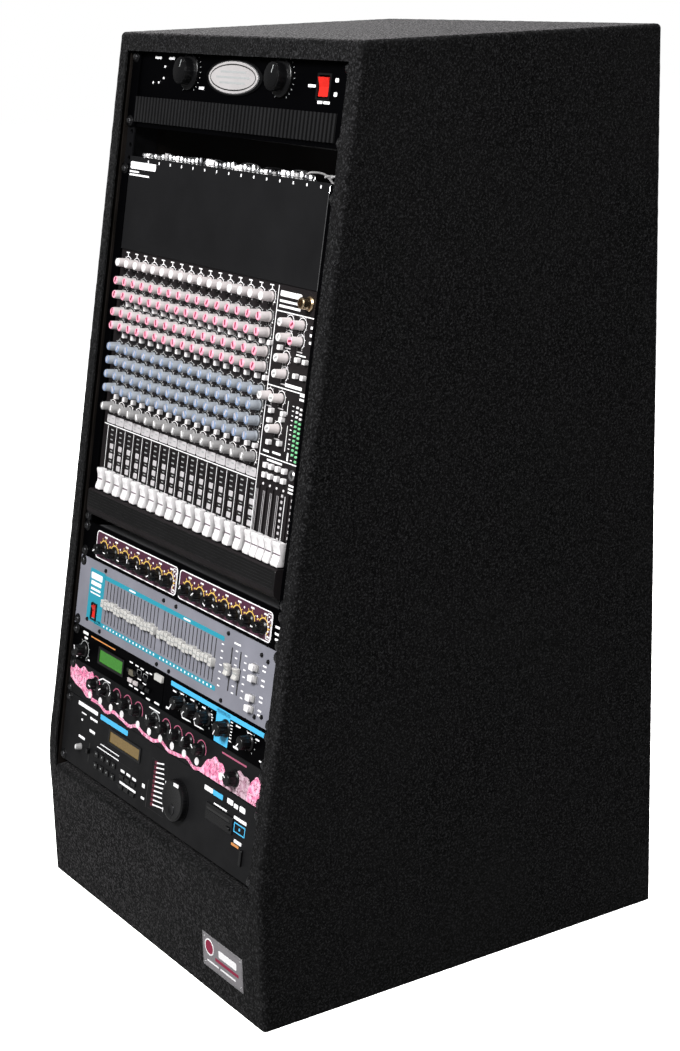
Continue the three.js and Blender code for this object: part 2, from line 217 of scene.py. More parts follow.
def marbled(name, color, pale, vein):
    """Ink swirled with a paler tone and thin dark veins."""
    g = Graph(name)
    swirl = g.noise(6, detail=4, roughness=0.6)
    lines = g.noise(9, detail=5, roughness=0.62)
    tone = g.mix(g.spread(swirl, 0, 1, 0.42, 0.6), color, pale)
    near = g.node("ShaderNodeMath", {0: lines, 1: 0.5, 2: 0.014}, operation="COMPARE")
    g.set(Base_Color=g.mix(near.outputs[0], tone, vein), Roughness=0.55)
    return g.material


def brushed(name, color, roughness=0.3):
    """Bare metal with fine brush lines across the case."""
    g = Graph(name)
    lines = g.noise(0.4, detail=3, stretch=(0.04, 1, 1))
    cloud = g.noise(35, detail=3)
    tone = g.mix(g.spread(cloud, 0, 1), shade(color, 0.85), color)
    g.set(Base_Color=tone, Metallic=1.0, Roughness=g.spread(lines, roughness - 0.08, roughness + 0.12))
    g.bump(lines, 0.2, 0.05)
    return g.material


def lit(name, color, strength):
    """A lamp or display that glows, a little unevenly."""
    g = Graph(name)
    cover = g.noise(2.0, detail=1)
    tone = g.mix(g.spread(cover, 0, 1), shade(color, 0.8), color)
    g.set(Base_Color=tone, Roughness=0.2, Emission_Color=tone, Emission_Strength=strength)
    return g.material


# Finish families: each name has its colour, and then the settings its family takes.
finish_families = {
    painted: {
        "powder_coat": ((0.0035, 0.0035, 0.004), 0.5, 0.08, 0.5),
        "chassis_paint": ((0.045, 0.045, 0.047), 0.45, 0.4, 0.4),
        "black_paint": ((0.0004, 0.0004, 0.0006), 0.5, 0.02, 0.2),
        "fin_paint": ((0.009, 0.009, 0.0095), 0.42, 0.15),
        "mixer_paint": ((0.0065, 0.0065, 0.007), 0.5, 0.1),
        "mixer_face": ((0.0095, 0.008, 0.0085), 0.5, 0.1),
        "sampler_paint": ((0.0065, 0.0065, 0.007), 0.5, 0.1),
        "pale_paint": ((0.175, 0.176, 0.205), 0.42, 0.3),
        "badge_paint": ((0.19, 0.18, 0.19), 0.4),
        "badge_silver": ((0.34, 0.325, 0.325), 0.4),
    },
    moulded: {
        "white_plastic": ((0.70, 0.68, 0.685),),
        "grey_plastic": ((0.46, 0.42, 0.42), 0.42),
        "pale_blue_plastic": ((0.25, 0.27, 0.30), 0.42),
        "pink_plastic": ((0.80, 0.32, 0.42),),
        "blue_plastic": ((0.17, 0.23, 0.35),),
        "dim_plastic": ((0.23, 0.225, 0.225), 0.42),
        "black_plastic": ((0.0022, 0.0022, 0.0025), 0.3, 0.3),
        "red_plastic": ((0.55, 0.018, 0.012), 0.28, 0.3),
        "ivory_plastic": ((0.46, 0.45, 0.43),),
        "beige_plastic": ((0.10, 0.09, 0.065), 0.42),
    },
    printed: {
        "white_ink": ((0.85, 0.84, 0.85),),
        "grey_ink": ((0.30, 0.31, 0.31),),
        "mauve_mark": ((0.12, 0.09, 0.11),),
        "strip_grey": ((0.45, 0.43, 0.44),),
        # Black for print, and for painted shade in holes, slots, recesses and louvre openings.
        "black_ink": ((0.012, 0.012, 0.012),),
        "magenta_ink": ((0.24, 0.012, 0.045),),
        "maroon_ink": ((0.055, 0.010, 0.028),),
        "dark_red_ink": ((0.10, 0.008, 0.022),),
        "yellow_ink": ((0.72, 0.50, 0.10),),
        "teal_ink": ((0.012, 0.25, 0.34),),
        "sky_ink": ((0.06, 0.42, 0.70),),
        "orange_ink": ((0.55, 0.22, 0.06),),
        "dim_pink_ink": ((0.36, 0.085, 0.15),),
    },
    brushed: {
        "bare_metal": ((0.66, 0.66, 0.67),),
        "screw_steel": ((0.10, 0.10, 0.105),),
        "black_steel": ((0.03, 0.03, 0.032), 0.32),
        "bar_metal": ((0.055, 0.054, 0.055), 0.36),
        "brass": ((0.72, 0.55, 0.36), 0.25),
    },
    lit: {
        "green_light": ((0.18, 0.55, 0.26), 0.05),
        "green_display": ((0.035, 0.17, 0.018), 0.22),
        "amber_display": ((0.16, 0.105, 0.035), 0.10),
    },
}
finishes = {
    "carpet": carpet_material(),
    "plywood": stained_plywood(),
    "pink_ink": marbled("pink_ink", rgb(0.70, 0.17, 0.32), rgb(0.86, 0.46, 0.60),
                                rgb(0.10, 0.012, 0.03)),
    "mauve_ink": marbled("mauve_ink", rgb(0.36, 0.20, 0.26), rgb(0.55, 0.40, 0.46),
                                 rgb(0.08, 0.02, 0.03)),
}
for make_finish, family in finish_families.items():
    for finish_name, (finish_color, *settings) in family.items():
        finishes[finish_name] = make_finish(finish_name, rgb(*finish_color), *settings)


# ---- solids ----

class Shape:
    """Closed solids in millimetres; each face remembers its finish."""

    def __init__(self):
        self.points = []
        self.faces = []
        self.finishes = []

    def add(self, points, faces, finish):
        first = len(self.points)
        self.points.extend(Vector(p) for p in points)
        self.faces.extend([first + i for i in face] for face in faces)
        self.finishes.extend([finish] * len(faces))
        return self

    def stamp(self, other, place):
        first = len(self.points)
        self.points.extend(place @ p for p in other.points)
        self.faces.extend([first + i for i in face] for face in other.faces)
        self.finishes.extend(other.finishes)
        return self

    def moved(self, x=0, y=0, turn=0):
        """A copy turned about z by degrees and then moved."""
        place = Matrix.Translation((x, y, 0)) @ Matrix.Rotation(math.radians(turn), 4, "Z")
        return Shape().stamp(self, place)


def together(*shapes):
    whole = Shape()
    for shape in shapes:
        whole.stamp(shape, Matrix())
    return whole


def spun(profile, sides, finish):
    """A solid turned about z from [radius, z] points that run up from the axis and back to it."""
    rings = profile[1:-1]
    points = [(0, 0, profile[0][1])]
    for radius, z in rings:
        for i in range(sides):
            turn = TAU * i / sides
            points.append((radius * math.cos(turn), radius * math.sin(turn), z))
    points.append((0, 0, profile[-1][1]))
    last = len(points) - 1
    faces = []
    for i in range(sides):
        j = (i + 1) % sides
        faces.append([0, 1 + j, 1 + i])
        for ring in range(len(rings) - 1):
            a = 1 + ring * sides
            faces.append([a + i, a + j, a + sides + j, a + sides + i])
        top = 1 + (len(rings) - 1) * sides
        faces.append([top + i, top + j, last])
    return Shape().add(points, faces, finish)


def inset(outline, distance):
    """The outline with every edge moved in by distance, for small distances."""
    count = len(outline)
    result = []
    for i, (x, y) in enumerate(outline):
        px, py = outline[i - 1]
        nx, ny = outline[(i + 1) % count]
        before = Vector((x - px, y - py)).normalized()
        after = Vector((nx - x, ny - y)).normalized()
        normal = Vector((-(before.y + after.y), before.x + after.x))
        if normal.length < 1e-6:
            normal = Vector((-before.y, before.x))
        normal.normalize()
        cosine = max(0.35, normal.dot(Vector((-before.y, before.x))))
        result.append((x + normal.x * distance / cosine, y + normal.y * distance / cosine))
    return result


def slab(outline, low, high, finish, edge=0.0, steps=1, holes=(), both=False):
    """An anticlockwise outline raised from low to high, with its top edge rounded by edge.

    Each hole is an anticlockwise outline that goes right through. With both, the bottom edge is
    rounded as well.
    """
    loops = [(outline, high - edge)]
    loops.insert(0, (outline, low + edge if both else low))
    if edge:
        for step in range(1, steps + 1):
            turn = math.pi / 2 * step / steps
            drawn_in = inset(outline, edge * (1 - math.cos(turn)))
            rounded_off = edge - edge * math.sin(turn)
            loops.append((drawn_in, high - rounded_off))
            if both:
                loops.insert(0, (drawn_in, low + rounded_off))
    count = len(outline)
    points = [(x, y, z) for loop, z in loops for x, y in loop]
    faces = []
    for ring in range(len(loops) - 1):
        for i in range(count):
            j = (i + 1) % count
            a = ring * count
            faces.append([a + i, a + j, a + count + j, a + count + i])
    top = (len(loops) - 1) * count
    if not holes:
        faces.append(list(reversed(range(count))))
        faces.append([top + i for i in range(count)])
        return Shape().add(points, faces, finish)
    hole_starts = []
    for hole in holes:
        start, size = len(points), len(hole)
        hole_starts.append(start)
        points.extend((x, y, z) for z in (low, high) for x, y in hole)
        for i in range(size):
            j = (i + 1) % size
            faces.append([start + j, start + i, start + size + i, start + size + j])
    for level, first in ((0, 0), (1, top)):
        places = list(range(first, first + count))
        for hole, start in zip(holes, hole_starts):
            places.extend(range(start + level * len(hole), start + (level + 1) * len(hole)))
        outer = [Vector(points[first + i]) for i in range(count)]
        inner = [[Vector((x, y, outer[0].z)) for x, y in hole] for hole in holes]
        for triangle in tessellate_polygon([outer] + inner):
            faces.append(facing([places[i] for i in triangle], points, upward=level == 1))
    return Shape().add(points, faces, finish)


def facing(face, points, upward):
    """The face wound so that it looks up or down."""
    (ax, ay, _), (bx, by, _), (cx, cy, _) = (points[i] for i in face)
    looks_up = (bx - ax) * (cy - ay) - (by - ay) * (cx - ax) > 0
    return face if looks_up == upward else face[::-1]


def round_box(width, height, radius=0.0, corner_steps=3):
    """The outline of a rectangle about the origin with rounded corners."""
    if radius <= 0:
        return [(-width / 2, -height / 2), (width / 2, -height / 2),
                (width / 2, height / 2), (-width / 2, height / 2)]
    outline = []
    for corner, (sign_x, sign_y) in enumerate(((-1, -1), (1, -1), (1, 1), (-1, 1))):
        cx = sign_x * (width / 2 - radius)
        cy = sign_y * (height / 2 - radius)
        for step in range(corner_steps + 1):
            turn = math.pi + corner * math.pi / 2 + math.pi / 2 * step / corner_steps
            outline.append((cx + radius * math.cos(turn), cy + radius * math.sin(turn)))
    return outline


def oval(width, height, sides=32):
    return [(width / 2 * math.cos(TAU * i / sides), height / 2 * math.sin(TAU * i / sides))
            for i in range(sides)]


def arc_band(radius, width, start, end):
    """Part of a ring between two angles in degrees."""
    steps = 12
    angles = [math.radians(start + (end - start) * i / steps) for i in range(steps + 1)]
    far, near = radius + width / 2, radius - width / 2
    outer = [(far * math.cos(a), far * math.sin(a)) for a in angles]
    inner = [(near * math.cos(a), near * math.sin(a)) for a in angles]
    return outer + inner[::-1]


def stripe(start, end, width):
    """The outline of a straight line from start to end."""
    along = (Vector(end) - Vector(start)).normalized() * (width / 2)
    side = Vector((-along.y, along.x))
    a, b = Vector(start), Vector(end)
    return [tuple(a - side), tuple(b - side), tuple(b + side), tuple(a + side)]


def pipe(path, radius, finish):
    """A round cord along a list of points, closed at both ends."""
    sides = 8
    path = [Vector(p) for p in path]
    points = []
    faces = []
    normal = None
    for i, here in enumerate(path):
        ahead = (path[min(i + 1, len(path) - 1)] - path[max(i - 1, 0)]).normalized()
        if normal is None:
            normal = ahead.orthogonal().normalized()
        normal = (normal - ahead * normal.dot(ahead)).normalized()
        across = ahead.cross(normal)
        for side in range(sides):
            turn = TAU * side / sides
            points.append(here + (normal * math.cos(turn) + across * math.sin(turn)) * radius)
    for ring in range(len(path) - 1):
        for i in range(sides):
            j = (i + 1) % sides
            a = ring * sides
            faces.append([a + i, a + j, a + sides + j, a + sides + i])
    faces.append(list(reversed(range(sides))))
    faces.append([(len(path) - 1) * sides + i for i in range(sides)])
    return Shape().add(points, faces, finish)


def smooth_path(corners, steps=8):
    """Points on a smooth curve through the corners."""
    corners = [Vector(c) for c in corners]
    padded = [2 * corners[0] - corners[1]] + corners + [2 * corners[-1] - corners[-2]]
    path = []
    for a, b, c, d in zip(padded, padded[1:], padded[2:], padded[3:]):
        for step in range(steps):
            t = step / steps
            path.append(0.5 * (2 * b + (c - a) * t + (2 * a - 5 * b + 4 * c - d) * t * t
                               + (3 * b - a - 3 * c + d) * t ** 3))
    path.append(corners[-1])
    return path


def make_piece(name, shape, body="case", sharp=35):
    """Turns a shape in millimetres of the whole case into a piece that rides on a body."""
    mesh = bpy.data.meshes.new(name)
    mesh.from_pydata([p * MM for p in shape.points], [], shape.faces)
    names = sorted(set(shape.finishes))
    for finish in names:
        mesh.materials.append(finishes[finish])
    mesh.polygons.foreach_set("material_index", [names.index(f) for f in shape.finishes])
    mesh.polygons.foreach_set("use_smooth", [True] * len(shape.faces))
    mesh.update()
    mesh.set_sharp_from_angle(angle=math.radians(sharp))
    piece = bpy.data.objects.new(name, mesh)
    bpy.context.scene.collection.objects.link(piece)
    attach(piece, body)
    return piece


# ---- the slanted front ----

def box_mm(node):
    low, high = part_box(node)
    return low / MM, high / MM


joints = {joint["name"]: joint for joint in frame["joints"]}
rise = Vector(joints["main_fader_slide"]["axis"]).normalized()
across = Vector((1, 0, 0))
outward = across.cross(rise)
top_low, top_high = box_mm("top_carpet")
slope_corner = Vector((0, top_low.y, top_high.z))


def slope_limits(node):
    """Lowest and highest x, distance down the slope and distance out of it, over a node's points."""
    points = [v.co / MM - slope_corner for v in frame["nodes"][node].data.vertices]
    spans = []
    for direction in (across, -rise, outward):
        along = [p.dot(direction) for p in points]
        spans.append((min(along), max(along)))
    return spans


def slope_matrix(x, down, out, turn=0, rear=False):
    """Places a shape whose x is across the case, y is up the slope and z is out of it.

    With rear, the shape faces the back instead, and its x runs the other way.
    """
    sign = -1 if rear else 1
    axes = Matrix((across * sign, rise, outward * sign)).transposed().to_4x4()
    spot = slope_corner + across * x - rise * down + outward * out
    return Matrix.Translation(spot) @ axes @ Matrix.Rotation(math.radians(turn), 4, "Z")


# Ink and thin labels start a little under the face, so that no gap shows.
ink_root, ink_height = -0.2, 0.15


class Panel:
    """A flat face on the slope. Places on it are x from the case's middle and down from its top."""

    def __init__(self, node, sunk=0.0, rear=False):
        (self.left, self.right), (self.top, self.bottom), (back, front) = slope_limits(node)
        self.rear = rear
        self.surface = back if rear else front - sunk
        self.shape = Shape()

    def put(self, shape, x=0, down=0, turn=0):
        place = slope_matrix(x, self.top + down, self.surface, turn, self.rear)
        self.shape.stamp(shape, place)

    def print(self, outline, finish, x=0, down=0, thickness=ink_height):
        """Ink or a thin label lying on the face."""
        self.put(slab(outline, ink_root, thickness, finish), x, down)

    def bars(self, places, finish="white_ink", thickness=ink_height):
        """Printed bars, each at x and down with a width and a height."""
        for x, down, width, height in places:
            self.print(bar(width, height), finish, x, down, thickness)

    def piece(self, name, slot, body="case"):
        made = make_piece(name, self.shape, body)
        self.shape = Shape()
        return made


# ---- casework ----

def carpet_skin(name, grid, node):
    """A carpet wrap from patches of points, welded, roughened like felt and given its thickness."""
    shape = Shape()
    for patch in grid:
        rows, columns = len(patch), len(patch[0])
        points = [p for row in patch for p in row]
        corners = [r * columns + c for r in range(rows - 1) for c in range(columns - 1)]
        faces = [[a, a + 1, a + columns + 1, a + columns] for a in corners]
        shape.add(points, faces, "carpet")
    piece = make_piece(name, shape, sharp=180)
    weld(piece)
    roughen(piece)
    skin = piece.modifiers.new("thickness", "SOLIDIFY")
    skin.thickness = carpet_thickness * MM
    skin.offset = -1
    solid = piece.evaluated_get(bpy.context.evaluated_depsgraph_get())
    piece.data = bpy.data.meshes.new_from_object(solid)
    piece.modifiers.clear()
    piece.data.set_sharp_from_angle(angle=math.radians(60))
    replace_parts(piece, node)


def weld(piece):
    mesh = bmesh.new()
    mesh.from_mesh(piece.data)
    bmesh.ops.remove_doubles(mesh, verts=mesh.verts, dist=0.02 * MM)
    bmesh.ops.dissolve_degenerate(mesh, edges=mesh.edges, dist=0.001 * MM)
    bmesh.ops.recalc_face_normals(mesh, faces=mesh.faces)
    mesh.to_mesh(piece.data)
    mesh.free()


def roughen(piece):
    """Moves each point in along its normal, in felt-like lumps of two sizes."""
    wide_lump, fine_lump = 9.0, 3.1
    mesh = piece.data
    normals = [v.normal.copy() for v in mesh.vertices]
    for vertex, normal in zip(mesh.vertices, normals):
        place = vertex.co / MM
        lump = noise.noise(place / wide_lump) * 0.45 + noise.noise(place / fine_lump) * 0.55
        vertex.co -= normal * (carpet_fuzz * (0.5 + lump) * MM)
    mesh.update()


case_low, case_high = cad_low / MM, cad_high / MM
kick_top = box_mm("kick_carpet")[1].z
roll = 5.0
cell = 4.2
arc_steps = 4
carpet_thickness = 2.4
carpet_fuzz = 0.45


def steps_for(length):
    return max(1, round(length / cell))


def front_y(z):
    """The case's front outline: upright at the kick board, then leaning back."""
    slanted = slope_corner.y + (z - slope_corner.z) * rise.y / rise.z
    upright = case_low.y
    soft = 8.0
    share = min(1.0, max(0.0, 0.5 + 0.5 * (slanted - upright) / soft))
    return upright + (slanted - upright) * share + soft * share * (1 - share) * 0.5


def side_patches(sign):
    """The outside, edges and top lip of one side wrap."""
    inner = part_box("right_side_board")[0].x / MM + 0.4
    outer = case_high.x
    lip = steps_for(outer - inner - roll)
    long = steps_for(case_high.y - case_low.y)
    turns = [math.pi / 2 * i / arc_steps for i in range(arc_steps + 1)]

    def row(z, drawn):
        front, back = front_y(z) + drawn, case_high.y - drawn
        edge, radius = outer - drawn, roll - drawn
        arc_x, arc_front, arc_back = edge - radius, front + radius, back - radius
        along_lip = [inner + (arc_x - inner) * i / lip for i in range(lip)]
        points = [(x, front) for x in along_lip]
        for turn in turns:
            points.append((arc_x + radius * math.sin(turn), arc_front - radius * math.cos(turn)))
        for i in range(1, long):
            points.append((edge, arc_front + (back - front - 2 * radius) * i / long))
        for turn in turns:
            points.append((arc_x + radius * math.cos(turn), arc_back + radius * math.sin(turn)))
        points.extend((x, back) for x in reversed(along_lip))
        return [(sign * x, y, z) for x, y in points]

    straight = case_high.z - roll
    tall = steps_for(straight)
    wall = [row(straight * i / tall, 0) for i in range(tall + 1)]
    for turn in turns[1:]:
        wall.append(row(straight + roll * math.sin(turn), roll * (1 - math.cos(turn))))
    front, back = front_y(case_high.z) + roll, case_high.y - roll
    shelf = []
    ys = [front + (back - front) * j / long for j in range(long + 1)]
    for i in range(lip + 1):
        x = inner + (outer - roll - inner) * i / lip
        shelf.append([(sign * x, y, case_high.z) for y in ys])
    return [wall, shelf]


def rolled_line(corners):
    """[y, z] points along straight runs with rounded corners, about one cell apart."""
    line = [corners[0]]
    for before, corner, after in zip(corners, corners[1:], corners[2:]):
        a, b, c = Vector(before), Vector(corner), Vector(after)
        into, away = (a - b).normalized(), (c - b).normalized()
        half = into.angle(away) / 2
        back_off = roll / math.tan(half)
        start, end = b + into * back_off, b + away * back_off
        centre = b + (into + away).normalized() * (roll / math.sin(half))
        line.append(tuple(start))
        sweep = math.pi - 2 * half
        for i in range(1, arc_steps + 1):
            angle = sweep * i / arc_steps
            first, last = start - centre, end - centre
            mixed = first * math.sin(sweep - angle) + last * math.sin(angle)
            line.append(tuple(centre + mixed / math.sin(sweep)))
    line.append(corners[-1])
    return filled(line)


def filled(line):
    """The line with points added where they are more than a cell apart."""
    result = [line[0]]
    for a, b in zip(line, line[1:]):
        length = (Vector(b) - Vector(a)).length
        count = steps_for(length)
        for i in range(1, count + 1):
            result.append(tuple(Vector(a).lerp(Vector(b), i / count)))
    return result


def across_patch(line, half_width):
    """A strip that carries a [y, z] line across the case."""
    count = steps_for(2 * half_width)
    xs = [-half_width + 2 * half_width * i / count for i in range(count + 1)]
    return [[[(x, y, z) for x in xs] for y, z in line]]


def make_carpet():
    for side, sign in (("left", -1), ("right", 1)):
        carpet_skin(f"{side}_carpet_wrap", side_patches(sign), f"{side}_carpet")
    half = box_mm("top_carpet")[1].x
    top_bottom = box_mm("top_carpet")[0].z
    top_line = rolled_line([
        (case_high.y, top_bottom), (case_high.y, case_high.z),
        (slope_corner.y, case_high.z), (front_y(top_bottom), top_bottom)])
    carpet_skin("top_carpet_wrap", across_patch(top_line, half), "top_carpet")
    kick_back = box_mm("kick_carpet")[1].y
    kick_line = rolled_line([
        (case_low.y, 0.0), (case_low.y, kick_top), (kick_back, kick_top)])
    carpet_skin("kick_carpet_wrap", across_patch(kick_line, half), "kick_carpet")


def paint_cad():
    """Finishes and softened edges for the CAD nodes that stay in view."""
    finish_for = {
        "plywood": ["left_side_board", "right_side_board", "top_board", "base_board", "kick_board",
                    "rear_upper_brace", "rear_lower_brace"],
        "powder_coat": ["left_rack_rail", "right_rack_rail"],
        "chassis_paint": [node for node in frame["nodes"] if node.endswith("chassis")],
        "black_paint": ["amp_faceplate", "mixer_left_ear", "mixer_right_ear",
                        "compressor_faceplate", "left_effects_unit", "right_effects_unit"],
        "fin_paint": ["amp_fin_block"],
        "mixer_face": ["mixer_panel"],
        "mixer_paint": ["mixer_jack_pod"],
        "sampler_paint": ["preamp_faceplate", "sampler_faceplate"],
        "pale_paint": ["equalizer_faceplate"],
        "bare_metal": ["badge_plate"],
        "red_plastic": ["amp_power_rocker", "equalizer_power_rocker"],
        "black_plastic": ["amp_left_knob", "amp_right_knob", "data_wheel"],
        "white_plastic": [node for node in frame["nodes"] if "fader" in node or "slider" in node],
    }
    for finish, nodes in finish_for.items():
        for node in nodes:
            cad = frame["nodes"][node]
            cad.data.materials.clear()
            cad.data.materials.append(finishes[finish])
            if finish not in ("red_plastic", "white_plastic", "black_plastic"):
                soften(cad)


def soften(cad):
    """Breaks a CAD node's sharp edges."""
    edge = cad.modifiers.new("softened_edges", "BEVEL")
    edge.width = 0.4 * MM
    edge.segments = 2
    edge.limit_method = "ANGLE"
    edge.angle_limit = math.radians(40)


# ---- controls and fittings that the units share ----

draw = random.Random(20)


def pot(radius, height, body, cap, pointer):
    """A small rotary knob: tapered body, coloured cap and a pointer line."""
    top = radius * 0.84
    shape = spun([[0, 0.3], [radius, 0.3], [radius, 1.6], [radius * 0.92, 2.2], [top, height - 0.8],
                  [top - 0.6, height], [0, height]], 18, body)
    disc = slab(oval(2 * top - 0.5, 2 * top - 0.5, 18), height - 1.2, height + 0.5, cap, 0.5)
    line = stripe((0, -top * 0.45), (0, top - 0.9), 2.4)
    return together(shape, disc, slab(line, height + 0.3, height + 0.62, pointer))


def fluted(radius, low, high, flutes, finish, depth=0.7):
    """A knob body with rounded grooves round it."""
    outline = []
    count = flutes * 4
    for i in range(count):
        turn = TAU * i / count
        reach = radius - depth * (0.5 - 0.5 * math.cos(flutes * turn))
        outline.append((reach * math.cos(turn), reach * math.sin(turn)))
    return slab(outline, low, high, finish, edge=0.9, steps=2)


def grip_knob(radius, height):
    """A fluted black knob on a skirt, with a white pointer on its top."""
    black = "black_plastic"
    skirt = spun([[0, 0.3], [radius, 0.3], [radius, 1.2], [radius - 1.6, 2.6], [0, 2.6]], 28, black)
    grip = fluted(radius - 1.6, 2.4, height, 12, black)
    cap = slab(oval(1.3 * radius, 1.3 * radius, 24), height - 0.2, height + 0.4, black, 0.3)
    line = stripe((0, 0.2 * radius), (0, 0.82 * radius), 1.3)
    return together(skirt, grip, cap, slab(line, height - 0.1, height + 0.6, "white_ink"))


def button(width, height, rise_height, finish):
    corner = min(0.7, width / 4, height / 4)
    return slab(round_box(width, height, corner, 2), 0, rise_height, finish, edge=0.4)


def bar(width, height):
    return round_box(width, height, min(width, height) * 0.15, 1)


def frame_outline(panel, width, height, radius, line, finish, x, down):
    """A printed rounded rectangle, drawn as a line."""
    outer = round_box(width, height, radius, 4)
    inner = round_box(width - 2 * line, height - 2 * line, max(0.2, radius - line), 4)
    panel.put(slab(outer, ink_root, ink_height, finish, holes=[inner]), x, down)


def scale(panel, x, down, radius, finish, length=1.6, count=11, width=0.7, start=-60, end=240):
    """Tick marks round a knob."""
    for i in range(count):
        turn = math.radians(start + (end - start) * i / (count - 1))
        a = (radius * math.cos(turn), radius * math.sin(turn))
        b = ((radius + length) * math.cos(turn), (radius + length) * math.sin(turn))
        panel.print(stripe(a, b, width), finish, x, down)


def ring(panel, x, down, radius, finish, width=0.8, start=-55, end=235):
    panel.print(arc_band(radius, width, start, end), finish, x, down)


def screw(head, finish="black_steel", washer=0.0):
    """A cross-recessed pan-head screw, in a cup washer if it has one."""
    parts = []
    base = 0.0
    if washer:
        parts.append(spun([[0, 0], [washer, 0], [washer - 0.4, 0.8], [head + 0.5, 1.6], [0, 1.6]],
                          24, "black_plastic"))
        base = 1.2
    parts.append(spun([[0, base], [head, base], [head, base + 0.6], [head * 0.85, base + 1.6],
                       [head * 0.5, base + 2.2], [0, base + 2.3]], 20, finish))
    # The cross recess is a black cross laid on the head: painted shade for the recess.
    slot = slab(round_box(head * 1.1, head * 0.26), base + 2.0, base + 2.36, "black_ink")
    parts.extend(slot.moved(turn=turn) for turn in (35, 125))
    return together(*parts)


def to_side():
    """Turns a slab so that it is raised along x, its outline's x is y and its outline's y is z."""
    return Matrix(((0, 0, 1, 0), (1, 0, 0, 0), (0, 1, 0, 0), (0, 0, 0, 1)))


def slider_cap(width, length, height, finish, mark):
    """A slider cap with a hollowed top between two lobes, a line across the hollow, and a stem."""
    half = length / 2
    dip = height * 0.34
    side = [(-half + 0.8, 1.0), (half - 0.8, 1.0), (half, 2.0)]
    points = 16
    for i in range(points + 1):
        share = 1 - 2 * i / points
        saddle = math.cos(share * math.pi / 2)
        rounding = share ** 8
        side.append((share * half, height - dip * (saddle + 0.6 * rounding)))
    side.append((-half, 2.0))
    shape = Shape().stamp(slab(side, -width / 2, width / 2, finish, 0.8, 2, both=True), to_side())
    groove = slab(bar(width - 0.2, 1.5), height - dip - 0.6, height - dip + 0.25, mark)
    stem = slab(round_box(1.8, length * 0.4), -4, 1.6, "black_steel")
    return together(shape, groove, stem)


def swap(panel, shape, node, x, down, slot, turn=0):
    """Puts a finer shape in the place of a moving CAD node, on the same body."""
    panel.put(shape, x, down, turn=turn)
    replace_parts(panel.piece(f"{node}_finish", slot, node), node)


def node_middle(node):
    """The x and the distance down the slope of a node's middle."""
    (x0, x1), (top, bottom), _ = slope_limits(node)
    return (x0 + x1) / 2, (top + bottom) / 2


def swap_slider(panel, node, width, length, height, finish="white_plastic", mark="grey_ink"):
    x, down = node_middle(node)
    cap = slider_cap(width, length, height, finish, mark)
    swap(panel, cap, node, x, down - panel.top, "white_plastic")


# ---- power amplifier ----

def make_amplifier():
    panel = Panel("amp_faceplate", sunk=3)
    badge_middle = 23
    for plate in (slab(oval(124, 41, 48), 0, 1.6, "black_steel", 0.8, 2),
                  slab(oval(112, 37.5, 48), 1.4, 2.2, "bare_metal", 0.4, 2),
                  slab(oval(108, 35.5, 48), 2.0, 2.6, "badge_silver", 0.2),
                  slab(oval(101, 30, 48), 2.4, 2.75, "black_ink", holes=[oval(98, 27, 48)])):
        panel.put(plate, 0, badge_middle)
    for rise_up, length in ((6, 56), (0, 74), (-6, 56)):
        panel.put(slab(bar(length, 2.2), 2.4, 2.75, "grey_ink"), 0, badge_middle - rise_up)
    panel.piece("amp_oval_badge", "bare_metal")

    knobs = ("amp_left_knob", "amp_right_knob")
    for node in knobs:
        x, down = node_middle(node)
        swap(panel, amp_knob(), node, x, down - panel.top, "black_plastic", turn=-20)
    for node in knobs:
        x, down = node_middle(node)
        scale(panel, x, down - panel.top, 22.5, "grey_ink", 2.0, 21, 0.6)
    rocker_bezel(panel, "amp_power_rocker", 3.2)
    for x, down, width in ((-183, 5.6, 16), (-150, 5.6, 14), (-72, 37.2, 12), (162, 26, 15),
                           (181, 42.3, 10), (194, 42.3, 12)):
        panel.print(bar(width, 3), "white_ink", x, down)
    for x, down in ((-163.3, 15.7), (-163.8, 29), (-175, 34.4), (-189, 35)):
        panel.put(slab(oval(3, 3, 12), 0, 1.2, "white_plastic", 0.5, 2), x, down)
    for down in (18.7, 33.2):
        panel.print(bar(6.5, 4.2), "white_ink", 209, down)
    panel.piece("amp_markings", "white_plastic")


def amp_knob():
    """A level knob: wide skirt with a bright chamfer, and a fluted grip."""
    black = "black_plastic"
    shape = spun([[0, 0.4], [21, 0.4], [21, 3], [20.4, 3.6], [16.5, 4.6], [0, 4.6]], 48, black)
    rim = slab(oval(41, 41, 48), 3.3, 3.75, "black_steel", holes=[oval(38.6, 38.6, 48)])
    grip = fluted(15.6, 4.2, 15.2, 18, black, 0.6)
    cap = slab(oval(27, 27, 36), 15, 16, black, 0.6, 2)
    line = slab(stripe((0, 4), (0, 12.6), 1.2), 15.8, 16.2, "grey_ink")
    return together(shape, rim, grip, cap, line)


def rocker_bezel(panel, node, border):
    """The black snap-in frame round a rocker."""
    gap, room_to_tilt = 0.4, 2.4
    (x0, x1), (top, bottom), _ = slope_limits(node)
    width, height = x1 - x0 + 2 * gap, bottom - top + 2 * gap
    outer = round_box(width + 2 * border, height + 2 * border, 1.2, 3)
    opening = round_box(width, height + room_to_tilt)
    rim = slab(outer, -0.1, 1.2, "black_plastic", holes=[opening])
    panel.put(rim, (x0 + x1) / 2, (top + bottom) / 2 - panel.top)


# ---- mixer ----

